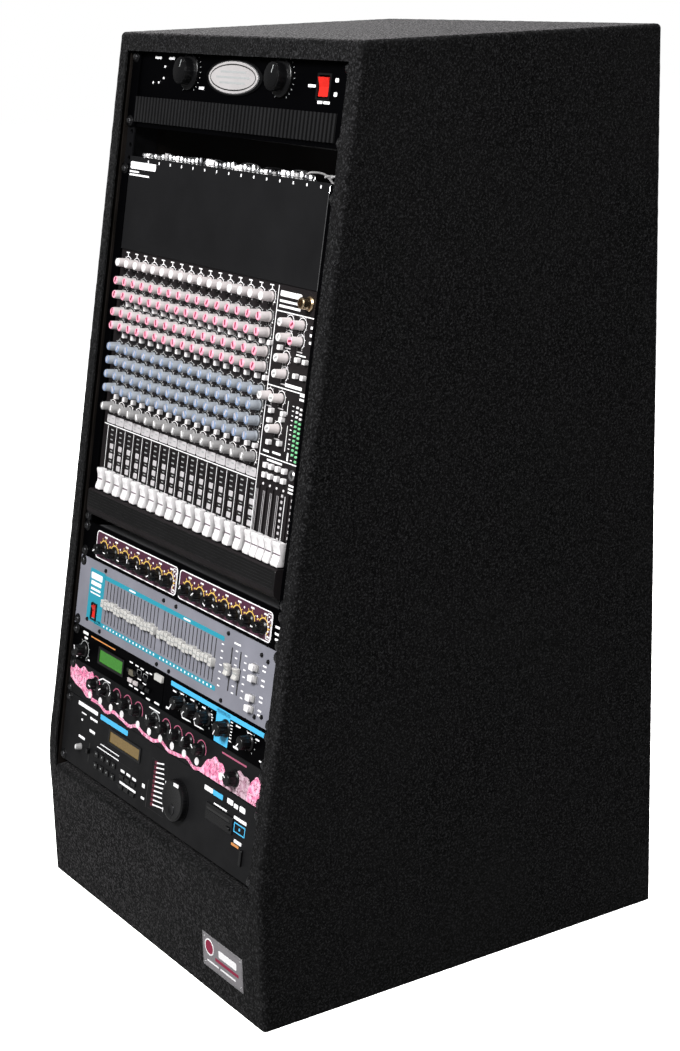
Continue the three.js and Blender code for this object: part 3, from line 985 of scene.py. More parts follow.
# Down the channel strip from the top of the face: each row's knob cap and its pointer.
channel_knobs = (
    (16, "white_plastic", "white_ink"),
    (38, "pink_plastic", "magenta_ink"), (55, "pink_plastic", "magenta_ink"),
    (76, "pink_plastic", "magenta_ink"), (92.5, "pink_plastic", "magenta_ink"),
    (118.5, "blue_plastic", "grey_plastic"), (135, "blue_plastic", "grey_plastic"),
    (152, "blue_plastic", "grey_plastic"), (169, "blue_plastic", "grey_plastic"),
    (192, "dim_plastic", "white_ink"))
knob_bodies = {"blue_plastic": "pale_blue_plastic", "dim_plastic": "dim_plastic"}
channel_buttons = ((65, 17), (103.5, 15.5), (179, 11))
strip_top, header_row, strip_line = 3.5, 208.5, 215.5
divider_x = 144.5
knob_ring, button_side, sub_button_side = 8.1, 5.4, 6
fader_width, main_fader_width = 11.8, 14.6
fader_length, fader_height = 26.5, 12

master_knobs = (
    (174.5, 38.7, "white_plastic"), (175, 55, "white_plastic"), (199.5, 38.6, "pink_plastic"),
    (199, 56, "pink_plastic"), (175, 77, "white_plastic"), (175, 94, "white_plastic"),
    (151, 121, "white_plastic"), (175, 120.5, "white_plastic"), (174.5, 153.7, "white_plastic"))
master_buttons = (
    (164, 67), (201, 75.5), (216.5, 75.8), (201, 92.7), (216, 92.6), (161.5, 135.9), (186, 135.8),
    (160, 146.6), (184.5, 142), (163.5, 170), (185, 168))
master_bars = (
    (170.5, 10, 43, 6), (170.5, 18, 43, 2.6), (170.5, 23.5, 43, 2.6), (219, 39, 6, 3), (219, 47, 6, 3),
    (219, 55, 6, 3), (203.5, 70.5, 19, 1.6), (196, 105, 34, 3.6), (157, 181, 12, 2.4),
    (178.5, 180, 17, 2.4), (201, 179.7, 3, 9), (216.5, 111.5, 11, 2.4), (216.5, 116, 11, 2.4),
    (176.5, 189.7, 31, 2.2), (215.5, 208.7, 11, 2), (215.5, 212.6, 11, 2), (215.5, 216.4, 11, 2),
    (190, 128.5, 1, 15), (194, 161, 1, 28))


def make_mixer():
    panel = Panel("mixer_panel", sunk=12)
    channels = sorted(node for node in frame["nodes"] if node.startswith("channel_fader"))
    subs = sorted(node for node in frame["nodes"] if node.startswith("sub_fader"))
    strips = [node_middle(node)[0] for node in channels]
    mixer_knobs(panel, strips)
    mixer_buttons(panel, strips)
    mixer_markings(panel, strips, [node_middle(node)[0] for node in subs])
    mixer_fittings(panel)
    for node in channels + subs:
        swap_slider(panel, node, fader_width, fader_length, fader_height, mark="mauve_mark")
    swap_slider(panel, "main_fader", main_fader_width, fader_length, fader_height,
                mark="mauve_mark")
    mixer_pod()


def mixer_knobs(panel, strips):
    for down, cap, pointer in channel_knobs:
        template = pot(6.0, 14.5, knob_bodies.get(cap, "grey_plastic"), cap, pointer)
        for x in strips:
            panel.put(template, x, down, turn=draw.uniform(-35, 35))
    for x, down, cap in master_knobs:
        pointer = "magenta_ink" if cap == "pink_plastic" else "grey_ink"
        panel.put(pot(5.6, 13.5, "grey_plastic", cap, pointer), x, down, turn=draw.uniform(-90, 90))
    panel.piece("mixer_knobs", "grey_plastic")


def mixer_buttons(panel, strips):
    small = button(button_side, button_side, 5, "white_plastic")
    last_x, step_back = divider_x - 3, 6
    for down, shift in channel_buttons:
        for x in strips:
            button_x = x + shift
            panel.put(small, button_x if button_x < last_x else button_x - step_back, down)
    for x, down in master_buttons:
        panel.put(small, x, down)
    sub_button = button(sub_button_side, sub_button_side, 4.5, "white_plastic")
    for down in (195.5, 206.2):
        for x in (163, 174.5, 188, 201.5):
            panel.put(sub_button, x, down)
    lamp, lamp_row = slab(oval(3, 3, 12), 0, 0.7, "white_plastic", 0.4, 2), 216.6
    for x in (159.5, 173.5, 187.5, 201.5):
        panel.put(lamp, x, lamp_row)
    panel.piece("mixer_buttons", "white_plastic")


def mixer_markings(panel, strips, sub_slots):
    """Screen printing: scale rings, strip headers, mute and solo blocks, level marks and lines."""
    for row, (down, _, _) in enumerate(channel_knobs):
        finish = "white_ink" if row in (0, 9) else "grey_ink"
        for x in strips:
            ring(panel, x, down, knob_ring, finish)
            scale(panel, x, down, 8.6, "strip_grey", 1.5, 7, 0.8)
            panel.bars([(x + side, down + 5.5, 1.6, 1.6) for side in (-7.6, 7.6)])
    for x, down, _ in master_knobs:
        ring(panel, x, down, knob_ring, "white_ink")
        scale(panel, x, down, 8.8, "strip_grey", 1.6, 9, 0.8)
        panel.print(bar(11, 1.4), "strip_grey", x + 1, down + 11.2)
    for x in strips:
        panel.bars([(x - 2, strip_top, 8, 1.3), (x - 1, strip_top + 2.5, 1.3, 4)])
        panel.put(slab(bar(21.3, 10), -0.2, 0.3, "strip_grey"), x, header_row)
        for side in (-5.5, 4.5):
            panel.put(slab(bar(5, 1.6), 0.2, 0.45, "grey_ink"), x + side, header_row - side * 0.3)
        for step in range(3):
            panel.print(bar(6, 1.4), "grey_ink", x + 5.5, 221 + 6 * step)
        for step in range(4):
            panel.put(button(8, 6.4, 0.8, "strip_grey"), x + 8, 241 + 12 * step)
            panel.print(bar(5, 1), "grey_ink", x + 8, 247 + 12 * step)
        panel.bars([(x - 6, 254, 0.8, 74)])
    master_middle = (divider_x + 224) / 2
    panel.bars([(divider_x - 184, strip_line, 365, 1.2), (divider_x, 147, 1.2, 290)])
    panel.bars([(master_middle, down, 79, 1.2) for down in (29, 109.5, 186)])
    panel.bars(master_bars)
    for x in sub_slots:
        panel.bars([(x + shift, 257, 0.7, 66) for shift in (-6.5, -3.6)], "strip_grey")
    for step in range(8):
        panel.bars([(x, first + 6.8 * step, 4, 3.2) for x, first in ((199.9, 222.5), (220.5, 224))],
                   "strip_grey")
    panel.bars([(206, 250, 0.9, 56)])
    panel.piece("mixer_markings", "white_plastic")


def mixer_fittings(panel):
    """Level lights, the headphone socket and the lamp socket."""
    for column, (x, first) in enumerate(((217.5, 126), (210, 125))):
        for step in range(12 - column):
            finish = "green_light" if step > 2 else "white_plastic"
            panel.put(slab(bar(4.4, 2.4), 0, 0.9, finish, 0.2), x, first + 5.1 * step)
            panel.print(bar(3.4, 1), "white_ink", x - 9, first + 5.1 * step)
    panel.piece("mixer_level_lights", "white_plastic")
    socket_ring = [[0, 0], [5.8, 0], [5.8, 1.6], [5.0, 2.4], [3.4, 2.4], [3.2, 1.0], [0, 1.0]]
    lamp_ring = [[0, 0], [8, 0], [8, 2], [7, 3], [6.4, 3], [6.4, 12], [5.6, 13], [4.2, 13],
                 [4.0, 4], [0, 4]]
    # Each socket's hole is a black disc in its ring: painted shade for the opening.
    for name, ring_part, hole, place in (
            ("headphone", spun(socket_ring, 24, "bare_metal"),
             slab(oval(6.2, 6.2, 20), 0.8, 1.3, "black_ink"), (215.5, 197.3)),
            ("lamp", spun(lamp_ring, 28, "brass"),
             slab(oval(8.2, 8.2, 20), 3.5, 4.4, "black_ink"), (210, 14.5))):
        panel.put(together(ring_part, hole), *place)
        panel.piece(f"mixer_{name}_socket", "bare_metal")
    bar_height = 33
    half = (panel.right - panel.left) / 2
    front = slab(round_box(2 * half - 1, bar_height - 12, 1, 2), 11.9, 12.5, "bar_metal", 0.3)
    panel.put(front, 0, panel.bottom - panel.top - bar_height / 2 - 5)
    for step in range(6):
        down = panel.bottom - panel.top - 29 + 3.4 * step
        panel.put(slab(bar(2 * half - 8, 0.5), 12.3, 12.7, "screw_steel", 0.1), 0, down)
    panel.piece("mixer_wrist_bar_face", "dark_grey_paint")


def upright_matrix(x, down, out):
    """Places a shape whose z points up the slope."""
    axes = Matrix((across, -outward, rise)).transposed().to_4x4()
    return Matrix.Translation(slope_corner + across * x - rise * down + outward * out) @ axes


def jack_plug(height, finish):
    return spun([[0, -1], [3.0, -1], [3.0, 1.5], [4.3, 1.8], [4.3, height * 0.7], [3.2, height],
                 [0, height]], 14, finish)


def mixer_pod():
    """The plugs along the pod's top edge, their loops of cable, and the pod's markings."""
    panel = Panel("mixer_jack_pod")
    plugs, cables = Shape(), Shape()
    finish_choices = ("white_plastic", "bare_metal", "bare_metal", "dim_plastic", "screw_steel")
    plug_pitch = 9.1
    for i in range(42):
        height = draw.uniform(4, 8.5)
        place = upright_matrix(-197 + plug_pitch * i, panel.top, panel.surface - 6)
        plugs.stamp(jack_plug(height, draw.choice(finish_choices)), place)
    for start in (-120, -66, 10, 62, 118, 150, 186, 198):
        reach = draw.uniform(14, 22)
        lift = draw.uniform(6, 9)
        corners = [(start, -16, 5), (start + reach * 0.2, -20, lift),
                   (start + reach * 0.6, -34, lift * 0.8), (start + reach, -46, -12),
                   (start + reach * 0.8, -50, -40)]
        place = upright_matrix(0, panel.top, panel.surface)
        path = [place @ Vector((x, -out, up)) for x, out, up in smooth_path(corners, 6)]
        finish = "dim_plastic" if start > 140 else "black_plastic"
        cables.stamp(pipe(path, 1.3, finish), Matrix())
    make_piece("mixer_jack_plugs", plugs)
    make_piece("mixer_plug_cables", cables)

    first_tick, tick_pitch = -177.3, 27.37
    for i in range(15):
        panel.print(bar(2.4, 3.2), "white_ink", first_tick + tick_pitch * i, 4.6)
    panel.bars([(-189, 10.6, 64, 8.6), (-210, 18.2, 24, 2), (-197, 22, 50, 2.2)])
    panel.piece("mixer_pod_markings", "white_plastic")
    panel.put(slab(round_box(1.6, 110, 0.2, 1), -1.5, 0.4, "bare_metal", 0.2), 223, 57)
    panel.piece("mixer_pod_edge_trim", "bare_metal")


# ---- compressor ----

def make_compressor():
    panel = Panel("compressor_faceplate")
    first_knob, knob_pitch, channel_pitch = -184, 28.2, 213
    for channel in range(2):
        shift = channel * channel_pitch
        middle = -101 + shift
        panel.print(round_box(205, 32, 4.5, 4), "maroon_ink", middle, 22.5, 0.08)
        frame_outline(panel, 208, 34.5, 5.5, 1.3, "white_ink", middle, 22.5)
        frame_outline(panel, 9, 29, 1.5, 0.8, "white_ink", middle + 97.5, 22.5)
        for i in range(7):
            x = first_knob + knob_pitch * i + shift
            ring(panel, x, 25.5, 10.2, "yellow_ink", 1.3, -35, 150)
            scale(panel, x, 25.5, 11.2, "yellow_ink", 2.6, 6, 1.0, -35, 150)
            panel.print(bar(7, 2), "white_ink", x + 3, 10.5)
            panel.print(oval(2.6, 2.6, 12), "white_ink", x + 14, 14 + 3 * (i % 2))
            panel.print(oval(2.2, 2.2, 12), "yellow_ink", x + 15, 20)
            panel.print(bar(5, 1.6), "white_ink", x + 12, 34)
        for i in range(5):
            dot = slab(oval(2.4, 2.4, 12), 0, 1.4, "white_plastic", 0.7, 2)
            panel.put(dot, middle + 97.5, 11.5 + 5.5 * i)
    panel.bars([(230, 18.5, 15, 2.6), (230, 26, 14, 2.6), (230, 32, 11, 2.6)])
    panel.piece("compressor_markings", "white_plastic")
    for channel in range(2):
        for i in range(7):
            x = first_knob + knob_pitch * i + channel * channel_pitch
            panel.put(grip_knob(8.3, 12), x, 25.5, turn=draw.uniform(-120, 120))
    panel.piece("compressor_knobs", "black_plastic")


# ---- graphic equaliser ----

band_pitch, group_gap, band_count, first_group = 8.7, 7, 31, 16
band_top, band_bottom = 18, 69


def band_x(i):
    return -163 + band_pitch * i + (group_gap if i >= first_group else 0)


def make_equalizer():
    panel = Panel("equalizer_faceplate")
    equalizer_markings(panel)
    # Each slider slot is a black strip on the face: painted shade for the opening.
    slot = slab(bar(1.8, band_bottom - band_top), -0.2, 0.12, "black_ink")
    for i in range(band_count):
        panel.put(slot, band_x(i), (band_top + band_bottom) / 2)
    panel.piece("equalizer_slots", "black_plastic")
    cap = button(6.8, 9.5, 6.5, "ivory_plastic")
    mark = slab(bar(6.2, 1.2), 6.2, 6.8, "grey_ink")
    stem = slab(round_box(1.2, 4), -4, 1, "black_steel")
    band_cap = together(cap, mark, stem)
    for i in range(band_count):
        rest = 45 + 1.2 * math.sin(i * 1.7)
        panel.put(band_cap, band_x(i), rest)
    panel.piece("equalizer_band_sliders", "white_plastic")
    for node in ("equalizer_left_slider", "equalizer_right_slider"):
        swap_slider(panel, node, 8.8, 13, 9, "ivory_plastic")
    # Each button is a white top on a dim grey step that shows to its right, on a pale plate; the step
    # is real, and its dim grey is painted shade for the button's shaded side.
    for down in (27.5, 40, 62, 74):
        panel.put(button(15, 9.6, 0.8, "pale_paint"), 195, down)
        panel.put(button(12, 7.6, 3, "dim_plastic"), 195, down)
        panel.put(button(8.5, 7, 7, "white_plastic"), 193, down)
    panel.piece("equalizer_buttons", "white_plastic")
    for x, down in ((-172, 6), (-22, 6), (8, 6), (130, 6), (-172, 83), (-22, 83.5), (8, 84),
                    (130, 83.5), (203, 11), (217, 15), (203, 81), (217, 77), (-208, 76)):
        panel.put(screw(2.6), x, down)
    panel.piece("equalizer_cover_screws", "black_steel")
    rocker_bezel(panel, "equalizer_power_rocker", 2.8)
    panel.piece("equalizer_rocker_bezel", "black_plastic")


def equalizer_markings(panel):
    label_x, label_down = -192, 43.5
    rocker_x, rocker_down = node_middle("equalizer_power_rocker")
    opening = [(x + rocker_x - label_x, y + label_down + panel.top - rocker_down)
               for x, y in round_box(10.4, 17.6)]
    label = slab(round_box(40, 66, 2, 3), -0.2, 0.15, "teal_ink", holes=[opening])
    panel.put(label, label_x, label_down)
    panel.print(round_box(296, 5.4, 1, 2), "teal_ink", -26, 14.6)
    panel.print(round_box(304, 5.4, 1, 2), "teal_ink", -38, 74.6)
    on_label = 0.25
    panel.bars([(-194, 19, 30, 8), (-194, 28, 27, 5), (-194, 35.5, 26, 3), (-194, 40.5, 27, 1.8),
                (-100, 14.6, 16, 2), (36, 14.6, 16, 2)], thickness=on_label)
    for i in range(band_count):
        panel.print(bar(2.8, 2.4), "white_ink", band_x(i), 74.6, on_label)
    for x in (120, 151, 171):
        for i in range(7):
            panel.print(bar(5, 1.5), "white_ink", x, 21 + 8 * i)
    for down in (22, 27.5, 38, 44, 57, 62, 72, 77):
        panel.print(bar(7, 2), "white_ink", 211, down)
    panel.print(bar(14, 2), "white_ink", 151, 13)
    # The black strip under each side slider stands for its slot: painted shade for the opening.
    for node in ("equalizer_left_slider", "equalizer_right_slider"):
        x, _ = node_middle(node)
        panel.put(slab(bar(2.4, 50), -0.2, 0.14, "black_ink"), x, 44.3)
    panel.piece("equalizer_markings", "pale_grey_paint")


# ---- effects units ----

def make_left_effects():
    panel = Panel("left_effects_unit")
    panel.put(grip_knob(8.6, 13), -207, 27, turn=40)
    for x in (-85, -71, -57, -43):
        panel.put(button(10, 4.5, 2.2, "black_plastic"), x, 19.5)
    panel.put(button(11, 7, 2.5, "beige_plastic"), -79, 21)
    for x in (-81, -67, -51, -36):
        panel.put(button(10, 5, 2.2, "grey_plastic" if x < -60 else "black_plastic"), x, 31)
    panel.put(button(18, 8, 3.5, "ivory_plastic"), -11, 8.5)
    panel.piece("left_effects_controls", "black_plastic")
    ring(panel, -207, 27, 11.5, "grey_ink", 1.0)
    scale(panel, -207, 27, 12.5, "grey_ink", 2.2, 9, 0.9)
    panel.bars([
        (-208, 5.5, 14, 3.6), (-206, 11.5, 9, 2.4), (-84, 9.5, 8, 1.6), (-69, 9.8, 8, 1.6),
        (-56, 10, 8, 1.6), (-43, 11, 6, 1.6), (-34, 10, 6, 1.6), (-60, 24, 9, 1.4),
        (-47, 26, 8, 1.4), (-79, 37, 9, 1.8), (-65, 37.5, 9, 1.8), (-49, 38, 8, 1.8),
        (-34, 41, 10, 2), (-12, 40, 12, 2.2), (-193, 37, 5, 1.8), (-226, 40, 4, 1.8)])
    panel.print(bar(66, 1.5), "orange_ink", -160, 5.8)
    for x, down in ((-62, 16), (-46, 17)):
        frame_outline(panel, 11, 6.5, 1.5, 0.6, "grey_ink", x, down)
    panel.piece("left_effects_markings", "white_plastic")
    display(panel, -134, 22.5, 61, 15.5, "green_display", "left_effects_display")


def display(panel, x, down, width, height, finish, name):
    """A lit window in a raised black frame."""
    hole = round_box(width, height)
    rim = slab(round_box(width + 7, height + 6, 1.5, 3), -0.1, 1.3, "black_plastic", holes=[hole])
    panel.put(rim, x, down)
    panel.put(slab(round_box(width, height), -0.1, 0.5, finish), x, down)
    panel.piece(name, "grey_plastic")


def make_right_effects():
    panel = Panel("right_effects_unit")
    knob_xs = (46, 76, 105, 147, 199)
    knob_down = 22
    panel.print(round_box(212, 5.6, 1, 2), "sky_ink", 122, 6.4)
    panel.print(round_box(30, 38, 1, 2), "sky_ink", 139, 24)
    for x in knob_xs[:3] + knob_xs[4:]:
        scale(panel, x, knob_down, 11.6, "grey_ink", 2, 9, 0.9)
    for x in knob_xs[:2]:
        panel.print(stripe((x - 1, -knob_down - 9), (x + 4, -knob_down - 17), 1.5), "white_ink")
        panel.print(stripe((x + 3.6, -knob_down - 16.6), (x + 24, -knob_down - 16), 1.5), "white_ink")
    panel.bars([
        (26, 14, 8, 1.8), (44, 12.5, 8, 1.8), (68, 12.5, 9, 1.8), (95, 13.5, 8, 1.8),
        (172, 12.5, 10, 1.8), (197, 13, 10, 1.8), (214, 15, 8, 1.8), (14, 37.5, 7, 2.4),
        (112, 16, 7, 1.5), (113, 19, 7, 1.5), (113, 22, 7, 1.5), (172, 37, 11, 2.4),
        (226, 36, 7, 2)])
    for i in range(7):
        panel.print(bar(5, 1.2), "white_ink", 158, 12 + 3.6 * i)
    panel.piece("right_effects_markings", "white_plastic")
    for x in knob_xs:
        panel.put(grip_knob(10.4 if x == 147 else 9.4, 13.5), x, knob_down, turn=draw.uniform(110, 160))
    panel.piece("right_effects_knobs", "black_plastic")


# ---- preamplifier ----

preamp_knobs = (-168, -140, -111, -82.5, -54, -12, 16, 44, 72, 100)


def wave_band(start, end, base, depth_at):
    """A band whose lower edge is straight and whose upper edge follows depth_at."""
    steps = 40
    xs = [start + (end - start) * i / steps for i in range(steps + 1)]
    lower = [(x, base) for x in xs]
    upper = [(x, base + max(0.4, depth_at(x))) for x in reversed(xs)]
    return lower + upper


def make_preamp():
    panel = Panel("preamp_faceplate")
    low_edge, strand_half = -42.5, 2.2

    def lobe(start, end, height, fullness):
        """A rounded hump of paint with a ragged top."""
        def depth_at(x):
            share = max(0.0, math.sin((x - start) / (end - start) * math.pi))
            return height * share ** fullness + 1.6 * math.sin(x / 2.9) * share
        return wave_band(start, end, low_edge, depth_at)

    def strand(x):
        return 3.4 + 2.4 * math.sin((x + 179) / 28.6 * math.pi) + 0.9 * math.sin(x / 5.0)

    blob = [(-239, -13), (-229, -6), (-214, -9), (-203, -3), (-191, -7), (-180, -4), (-174, -12),
            (-177, -24), (-175, -35), (-188, -39), (-204, -33), (-220, -31), (-237, -25)]
    outline = [tuple(p) for p in smooth_path(blob[::-1] + blob[-1:], 5)[:-1]]
    panel.print(outline, "pink_ink")
    panel.print(lobe(102, 170, 26, 0.7), "pink_ink", thickness=0.12)
    panel.print(lobe(154, 226, 27, 0.5), "mauve_ink", thickness=0.16)
    panel.print(lobe(206, 241, 31, 0.4), "pink_ink", thickness=0.2)
    xs = [-176 + 290 * i / 90 for i in range(91)]
    lower = [(x, low_edge + strand(x) - strand_half) for x in xs]
    upper = [(x, low_edge + strand(x) + strand_half) for x in reversed(xs)]
    panel.print(lower + upper, "pink_ink", thickness=0.1)
    for x in preamp_knobs:
        finish = "grey_ink" if x in (-140, -12) else "dim_pink_ink"
        ring(panel, x, 17, 10.8, finish, 1.3, -20, 190)
    for x in (-179, -151, -122, -93, -51, -22, 6, 35, 64, 94, 149):
        panel.put(slab(oval(9, 9.4, 20), -0.1, 0.5, "white_plastic", 0.3), x - 1, 33.5)
    for x, width in ((-141, 21), (-15.5, 26)):
        panel.print(bar(width, 1.6), "white_ink", x, 4.5)
    panel.print(stripe((-172, -14), (-152, -5), 1.6), "white_ink")
    panel.print(bar(54, 2), "dim_pink_ink", 172, 6)
    panel.piece("preamp_markings", "dark_grey_paint")
    for x in preamp_knobs:
        panel.put(grip_knob(8.4, 11), x, 16, turn=draw.uniform(-130, 130))
    panel.put(grip_knob(10, 12), 178, 26, turn=60)
    panel.piece("preamp_knobs", "black_plastic")


# ---- sampler ----

def make_sampler():
    panel = Panel("sampler_faceplate")
    sampler_markings(panel)
    display(panel, -77.5, 23.5, 77, 13.5, "amber_display", "sampler_display")
    sampler_keys(panel)
    sampler_drive(panel)
    x, down = node_middle("data_wheel")
    swap(panel, dial(), "data_wheel", x, down - panel.top, "black_plastic")


def sampler_markings(panel):
    panel.bars([
        (-181, 6.6, 54, 5), (-190, 16.5, 13, 1.6), (-163, 16.7, 20, 3), (-164, 32.5, 15, 3.6),
        (-190, 47.5, 17, 3.4), (-194, 25.5, 4, 2.6), (-114, 40.5, 50, 1.2), (-118, 46.2, 58, 1.3),
        (-76, 55.5, 10, 3.2), (-61, 55.5, 10, 3.2), (-46, 56, 10, 3.2), (-60, 70.3, 42, 3),
        (-22, 56, 7, 5), (-21, 71, 8, 3), (126, 11, 19, 5.6), (174, 10, 13, 6), (187, 11, 9, 5),
        (201, 10.5, 12, 6.4), (155, 22.6, 29, 2), (199, 23.4, 27, 3.8), (199, 49, 16, 4)])
    panel.bars([(-110, 7.2, 73, 6.4), (147, 11, 22, 6)], "sky_ink")
    panel.print(bar(16, 3), "orange_ink", 194, 54)
    frame_outline(panel, 24, 11.5, 0.8, 1.4, "sky_ink", 199.5, 34)
    panel.print(oval(3.4, 3.4, 14), "sky_ink", 199.5, 34)
    frame_outline(panel, 52, 29, 1, 0.7, "fin_paint", -63, 61)
    frame_outline(panel, 40, 62, 1, 0.9, "fin_paint", 12, 47)
    for i in range(10):
        down, end = 20 + 5.7 * i, 21 + 1.2 * i
        panel.print(stripe((-1, -down), (6, -down + 1.4), 4), "dark_red_ink")
        panel.print(stripe((4, -down + 0.8), (end, -down + 4.4), 1.7), "white_ink", thickness=0.2)
    panel.print(bar(1.2, 38), "white_ink", 29, 52)
    panel.piece("sampler_markings", "white_plastic")


def sampler_keys(panel):
    for row in range(2):
        for column in range(4):
            x, down = -145 + 15.3 * column, 55.5 + 14.5 * row
            panel.put(button(9.5, 7.5, 1.6, "black_plastic"), x, down)
            panel.put(slab(oval(2, 2, 10), 1.4, 1.8, "grey_ink"), x, down - 0.5)
    for column in range(3):
        for row in range(2):
            panel.put(button(11, 5, 1.8, "black_plastic"), -76 + 15 * column, 62 + 13 * row)
    panel.put(pot(4.4, 7, "dim_plastic", "dim_plastic", "white_ink"), -190, 59.5)
    # The black strip under the small slider stands for its slot: painted shade for the opening.
    panel.put(slab(bar(2, 24), -0.1, 0.2, "black_ink"), -167, 60)
    panel.put(button(5, 6, 4, "black_plastic"), -167, 58)
    panel.put(slab(bar(1.4, 34), -0.1, 0.25, "black_ink"), -11.5, 62)
    panel.put(button(5, 18, 2.5, "black_plastic"), 210, 63)
    panel.piece("sampler_keys_and_controls", "black_plastic")


def sampler_drive(panel):
    """The disk drive: a raised bezel with its slot, flap and eject button."""
    panel.put(slab(round_box(60, 20, 1, 2), -0.1, 1.6, "black_plastic", 0.5), 156, 35)
    # The disk slot is a black strip in the bezel: painted shade for the opening.
    panel.put(slab(bar(50, 3.2), 1.4, 1.75, "black_ink"), 154, 31)
    panel.put(slab(bar(51, 0.8), 1.5, 2.2, "fin_paint", 0.2), 154, 33.4)
    panel.put(slab(bar(52, 1), -0.1, 1.9, "fin_paint", 0.3), 155, 44.6)
    panel.put(button(8, 4, 3, "black_plastic"), 178, 39.5)
    panel.piece("sampler_disk_drive", "black_plastic")


def dial():
    """The data wheel: a fluted rim, a dished face, a finger hollow and a mark."""
    black = "black_plastic"
    base = spun([[0, 0.5], [25, 0.5], [25, 1.6], [24, 2.2], [0, 2.2]], 64, black)
    rim = fluted(24.8, 2.0, 8.4, 40, black, 0.45)
    face = spun([[0, 8.2], [22.5, 8.2], [22.3, 8.9], [20.5, 8.9], [18, 8.5], [0, 8.5]], 64, black)
    hollow = spun([[0, 8.4], [7.2, 8.4], [6.8, 9.0], [5.8, 9.0], [4.0, 8.6], [0, 8.55]], 32,
                  "black_steel")
    mark = slab(bar(11, 4), 8.4, 9.0, "white_ink")
    return together(base, rim, face, hollow.moved(0, -11), mark.moved(6, 20))


# ---- badge, rack screws and what shows from behind ----

def make_badge():
    low, high = box_mm("badge_plate")
    middle_x, middle_z = (low.x + high.x) / 2, (low.z + high.z) / 2
    width, height = high.x - low.x, high.z - low.z
    upright = Matrix(((1, 0, 0, 0), (0, 0, -1, 0), (0, 1, 0, 0), (0, 0, 0, 1)))
    face = Shape()

    def lay(outline, top, finish, x, z, **more):
        place = Matrix.Translation((middle_x + x, low.y, middle_z + z)) @ upright
        face.stamp(slab(outline, -0.3, top, finish, **more), place)

    lay(round_box(width - 1, height - 1, 2.5, 4), 0.3, "badge_paint", 0, 0, edge=0.2)
    rim = round_box(width - 4, height - 4, 1.5, 4)
    lay(round_box(width - 2.4, height - 2.4, 2, 4), 0.42, "bare_metal", 0, 0, holes=[rim])
    lay(oval(18, 18, 40), 0.5, "magenta_ink", -29, 6)
    lay(oval(20.4, 20.4, 40), 0.6, "white_ink", -29, 6, holes=[oval(17.2, 17.2, 40)])
    lay(bar(40, 9), 0.5, "white_ink", 12, 6)
    lay(bar(52, 4), 0.5, "magenta_ink", 10, -4)
    for x, length in ((-22, 26), (12, 34)):
        lay(bar(length, 2), 0.5, "white_ink", x, -12)
    for x in (-40, 40):
        for z in (-16, 16):
            place = Matrix.Translation((middle_x + x, low.y - 0.3, middle_z + z)) @ upright
            rivet = spun([[0, 0], [1.6, 0], [1.4, 0.5], [0.8, 0.8], [0, 0.85]], 14, "bare_metal")
            face.stamp(rivet, place)
    make_piece("badge_face", face)


def make_rack_screws():
    """Two screws in cup washers on each ear, at the first and last holes of each unit."""
    hole_from_edge, ear_x = 6.0, 233.5
    left, right, both = [-ear_x], [ear_x], [-ear_x, ear_x]
    shape = Shape()
    for node, xs in (
            ("amp_faceplate", both), ("mixer_left_ear", left), ("mixer_right_ear", right),
            ("compressor_faceplate", both), ("equalizer_faceplate", both),
            ("left_effects_unit", left), ("right_effects_unit", right),
            ("preamp_faceplate", both), ("sampler_faceplate", both)):
        panel = Panel(node)
        for down in (hole_from_edge, panel.bottom - panel.top - hole_from_edge):
            for x in xs:
                panel.put(screw(4.4, "screw_steel", 6.8), x, down, turn=draw.uniform(0, 90))
        shape.stamp(panel.shape, Matrix())
    make_piece("rack_screws_and_washers", shape)


def socket(kind):
    """A rear connector, raised from its panel."""
    if kind == "jack":
        body = spun([[0, 0], [6.4, 0], [6.4, 1.8], [5.2, 2.6], [3.6, 2.6], [3.4, 1.4], [0, 1.4]],
                    20, "black_plastic")
        contact = slab(oval(6.6, 6.6, 16), 1.2, 1.6, "bare_metal", holes=[oval(4.6, 4.6, 16)])
        return together(body, contact)
    if kind == "xlr":
        plate = slab(round_box(26, 26, 3, 3), 0, 1.4, "black_plastic", 0.4)
        barrel = slab(oval(21, 21, 28), 1.2, 4.2, "bare_metal", holes=[oval(18, 18, 28)])
        pins = [slab(oval(2.4, 2.4, 10), 1.2, 3.6, "bare_metal", 0.6)
                .moved(5 * math.cos(a), 5 * math.sin(a)) for a in (0.5, 2.6, 4.7)]
        return together(plate, barrel, *pins)
    if kind == "post":
        profile = [[0, 0], [6, 0], [6, 3], [4.2, 3.4], [4.2, 7], [6, 7.4], [6, 15], [5, 16], [0, 16]]
        return spun(profile, 18, "red_plastic")
    frame_part = slab(round_box(30, 23, 2, 3), 0, 1.6, "black_plastic", 0.4)
    inlet = slab(round_box(24, 17, 3, 3), 1.4, 3.4, "black_plastic", holes=[round_box(21, 14, 2.5, 3)])
    blades = [slab(round_box(2, 5), 1.2, 3, "bare_metal").moved(x) for x in (-6, 0, 6)]
    return together(frame_part, inlet, *blades)


def louvres(width, height, count):
    """A block of pressed cooling louvres."""
    pitch = height / count
    blade = slab(bar(width, pitch * 0.45), -0.1, 1.6, "powder_coat", 0.5)
    # A black strip in the opening under each blade is painted shade.
    gap = slab(bar(width, 0.8), -0.1, 0.2, "black_ink")
    parts = []
    for i in range(count):
        y = height * ((i + 0.5) / count - 0.5)
        parts.extend((blade.moved(0, y), gap.moved(0, y - pitch * 0.35)))
    return together(*parts)


